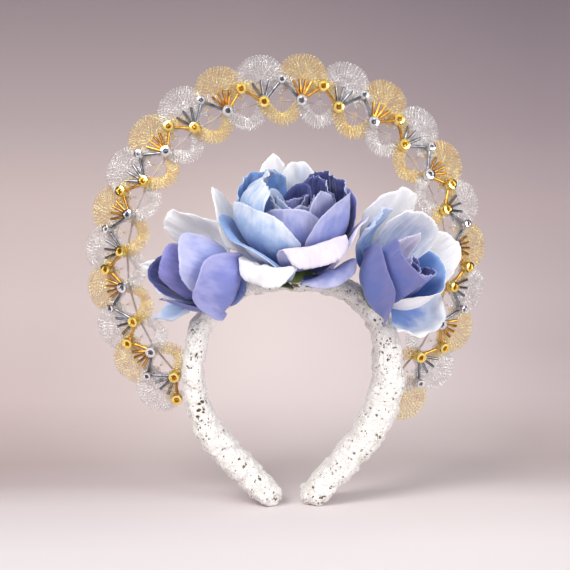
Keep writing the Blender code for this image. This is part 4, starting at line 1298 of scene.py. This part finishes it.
def sweep_profile():
    """Places of the paper along y and z, from the front of the floor to the top of the wall."""
    profile = [(SWEEP_FRONT, 0.0)]
    for step in range(SWEEP_STEPS + 1):
        turn = math.pi / 2 * step / SWEEP_STEPS
        profile.append((SWEEP_START + SWEEP_RADIUS * math.sin(turn), SWEEP_RADIUS * (1 - math.cos(turn))))
    return [*profile, (SWEEP_START + SWEEP_RADIUS, SWEEP_TOP)]


def make_sweep():
    profile = sweep_profile()
    points = [(x, y, z) for y, z in profile for x in (-SWEEP_HALF_WIDTH, SWEEP_HALF_WIDTH)]
    faces = [(2 * row, 2 * row + 1, 2 * row + 3, 2 * row + 2) for row in range(len(profile) - 1)]
    mesh = bpy.data.meshes.new("paper_sweep")
    mesh.from_pydata(points, [], faces)
    mesh.shade_smooth()
    material, tree, shader = new_material("paper", Roughness=0.9)
    place = add(tree, "SeparateXYZ", {0: add(tree, "TexCoord").outputs["Object"]}).outputs
    travelled = calculate(tree, "ADD", place["Y"], place["Z"])
    share = range_share(tree, travelled, PAPER_FROM, PAPER_TO)
    shades = [((at - PAPER_FROM) / (PAPER_TO - PAPER_FROM), shade) for at, shade in PAPER_PAINTED_SHADES]
    # Painted shade along the paper: a shadow band on the floor behind the crown, and darkening up the wall.
    paper = ramp(tree, share, shades, "LINEAR")
    # Painted light: the paper is lightened in a soft patch behind the crown.
    aside = calculate(tree, "DIVIDE", calculate(tree, "SUBTRACT", place["X"], PAINTED_GLOW_X), PAINTED_GLOW_WIDE)
    above = calculate(tree, "DIVIDE", calculate(tree, "SUBTRACT", travelled, PAINTED_GLOW_AT), PAINTED_GLOW_TALL)
    away = add(tree, "CombineXYZ", {"X": aside, "Y": above}).outputs[0]
    far = add(tree, "VectorMath", {0: away}, operation="LENGTH").outputs["Value"]
    painted_glow = ramp(tree, far, [(0.0, WHITE), (1.0, BLACK)])
    paper_with_painted_glow = blend_colours(tree, calculate(tree, "MULTIPLY", painted_glow, PAINTED_GLOW_STRENGTH), paper, PAINTED_GLOW_COLOUR)
    # Painted shade towards the upper right of the paper.
    rightwards = range_share(tree, place["X"], *DIM_RIGHT)
    upwards = range_share(tree, travelled, *DIM_UP)
    painted_shade_share = calculate(tree, "MULTIPLY", rightwards, upwards)
    paper_with_painted_shade = blend_colours(tree, painted_shade_share, paper_with_painted_glow, RIGHT_PAINTED_SHADE, "MULTIPLY")
    tree.links.new(paper_with_painted_shade, shader["Base Color"])
    seen_from_behind = add(tree, "NewGeometry").outputs["Backfacing"]
    tree.links.new(calculate(tree, "SUBTRACT", 1.0, seen_from_behind), shader["Alpha"])
    mesh.materials.append(material)
    sweep = bpy.data.objects.new("paper_sweep", mesh)
    bpy.context.scene.collection.objects.link(sweep)
    return sweep


print("paper sweep:", len(make_sweep().data.polygons), "faces")

# %% Lights
LIGHTS = (
    # name, place in m, size in m, watts, colour
    ("key", (-0.9, -1.1, 1.3), 0.9, 23.0, (1.0, 0.98, 0.96)),
    ("fill", (1.2, -1.2, 0.3), 1.0, 17.0, (0.97, 0.98, 1.0)),
    ("rim", (0.25, 0.5, 1.1), 0.5, 0.7, (1.0, 0.98, 0.97)),
)
LOOK_AT = Vector((0.0, 0.019, 0.15))


def aim(thing, target):
    thing.rotation_euler = (target - thing.location).to_track_quat("-Z", "Y").to_euler()


for name, place, size, watts, colour in LIGHTS:
    data = bpy.data.lights.new(name, "AREA")
    data.size = size
    data.energy = watts
    data.color = colour
    light = bpy.data.objects.new(name, data)
    light.location = place
    bpy.context.scene.collection.objects.link(light)
    aim(light, LOOK_AT)

SKY = ((0.2, paint(120, 116, 120)), (0.55, paint(246, 242, 244)), (0.8, paint(255, 253, 252)))
SCREENS = ((0.62, WHITE), (0.8, paint(90, 88, 94)))
WORLD_STRENGTH = 0.82

world = bpy.data.worlds.new("studio")
world.use_nodes = True
air = world.node_tree
sky = add(air, "SeparateXYZ", {0: add(air, "TexCoord").outputs["Generated"]}).outputs
over = ramp(air, calculate(air, "MULTIPLY_ADD", sky["Z"], 0.5, 0.5), SKY)
screens = ramp(air, calculate(air, "ABSOLUTE", sky["X"]), SCREENS)
studio = blend_colours(air, 1.0, over, screens, "MULTIPLY")
feed(air, air.nodes["Background"], {"Color": studio, "Strength": WORLD_STRENGTH})
bpy.context.scene.world = world
bpy.context.scene.view_settings.view_transform = "Standard"
print("lights in W:", {name: watts for name, _, _, watts, _ in LIGHTS})

# %% Camera
LENS = 85.0
DISTANCE = 0.897
AZIMUTH = math.radians(-4)
ELEVATION = math.radians(3.5)
AIM_POINT = Vector((-0.0043, 0.0178, 0.1474))
back = Vector(
    (
        math.sin(AZIMUTH) * math.cos(ELEVATION),
        -math.cos(AZIMUTH) * math.cos(ELEVATION),
        math.sin(ELEVATION),
    )
)
camera = bpy.data.objects.new("camera", bpy.data.cameras.new("camera"))
camera.data.lens = LENS
camera.location = AIM_POINT + back * DISTANCE
bpy.context.scene.collection.objects.link(camera)
aim(camera, AIM_POINT)
bpy.context.scene.camera = camera
print("camera at", [round(value, 3) for value in camera.location])
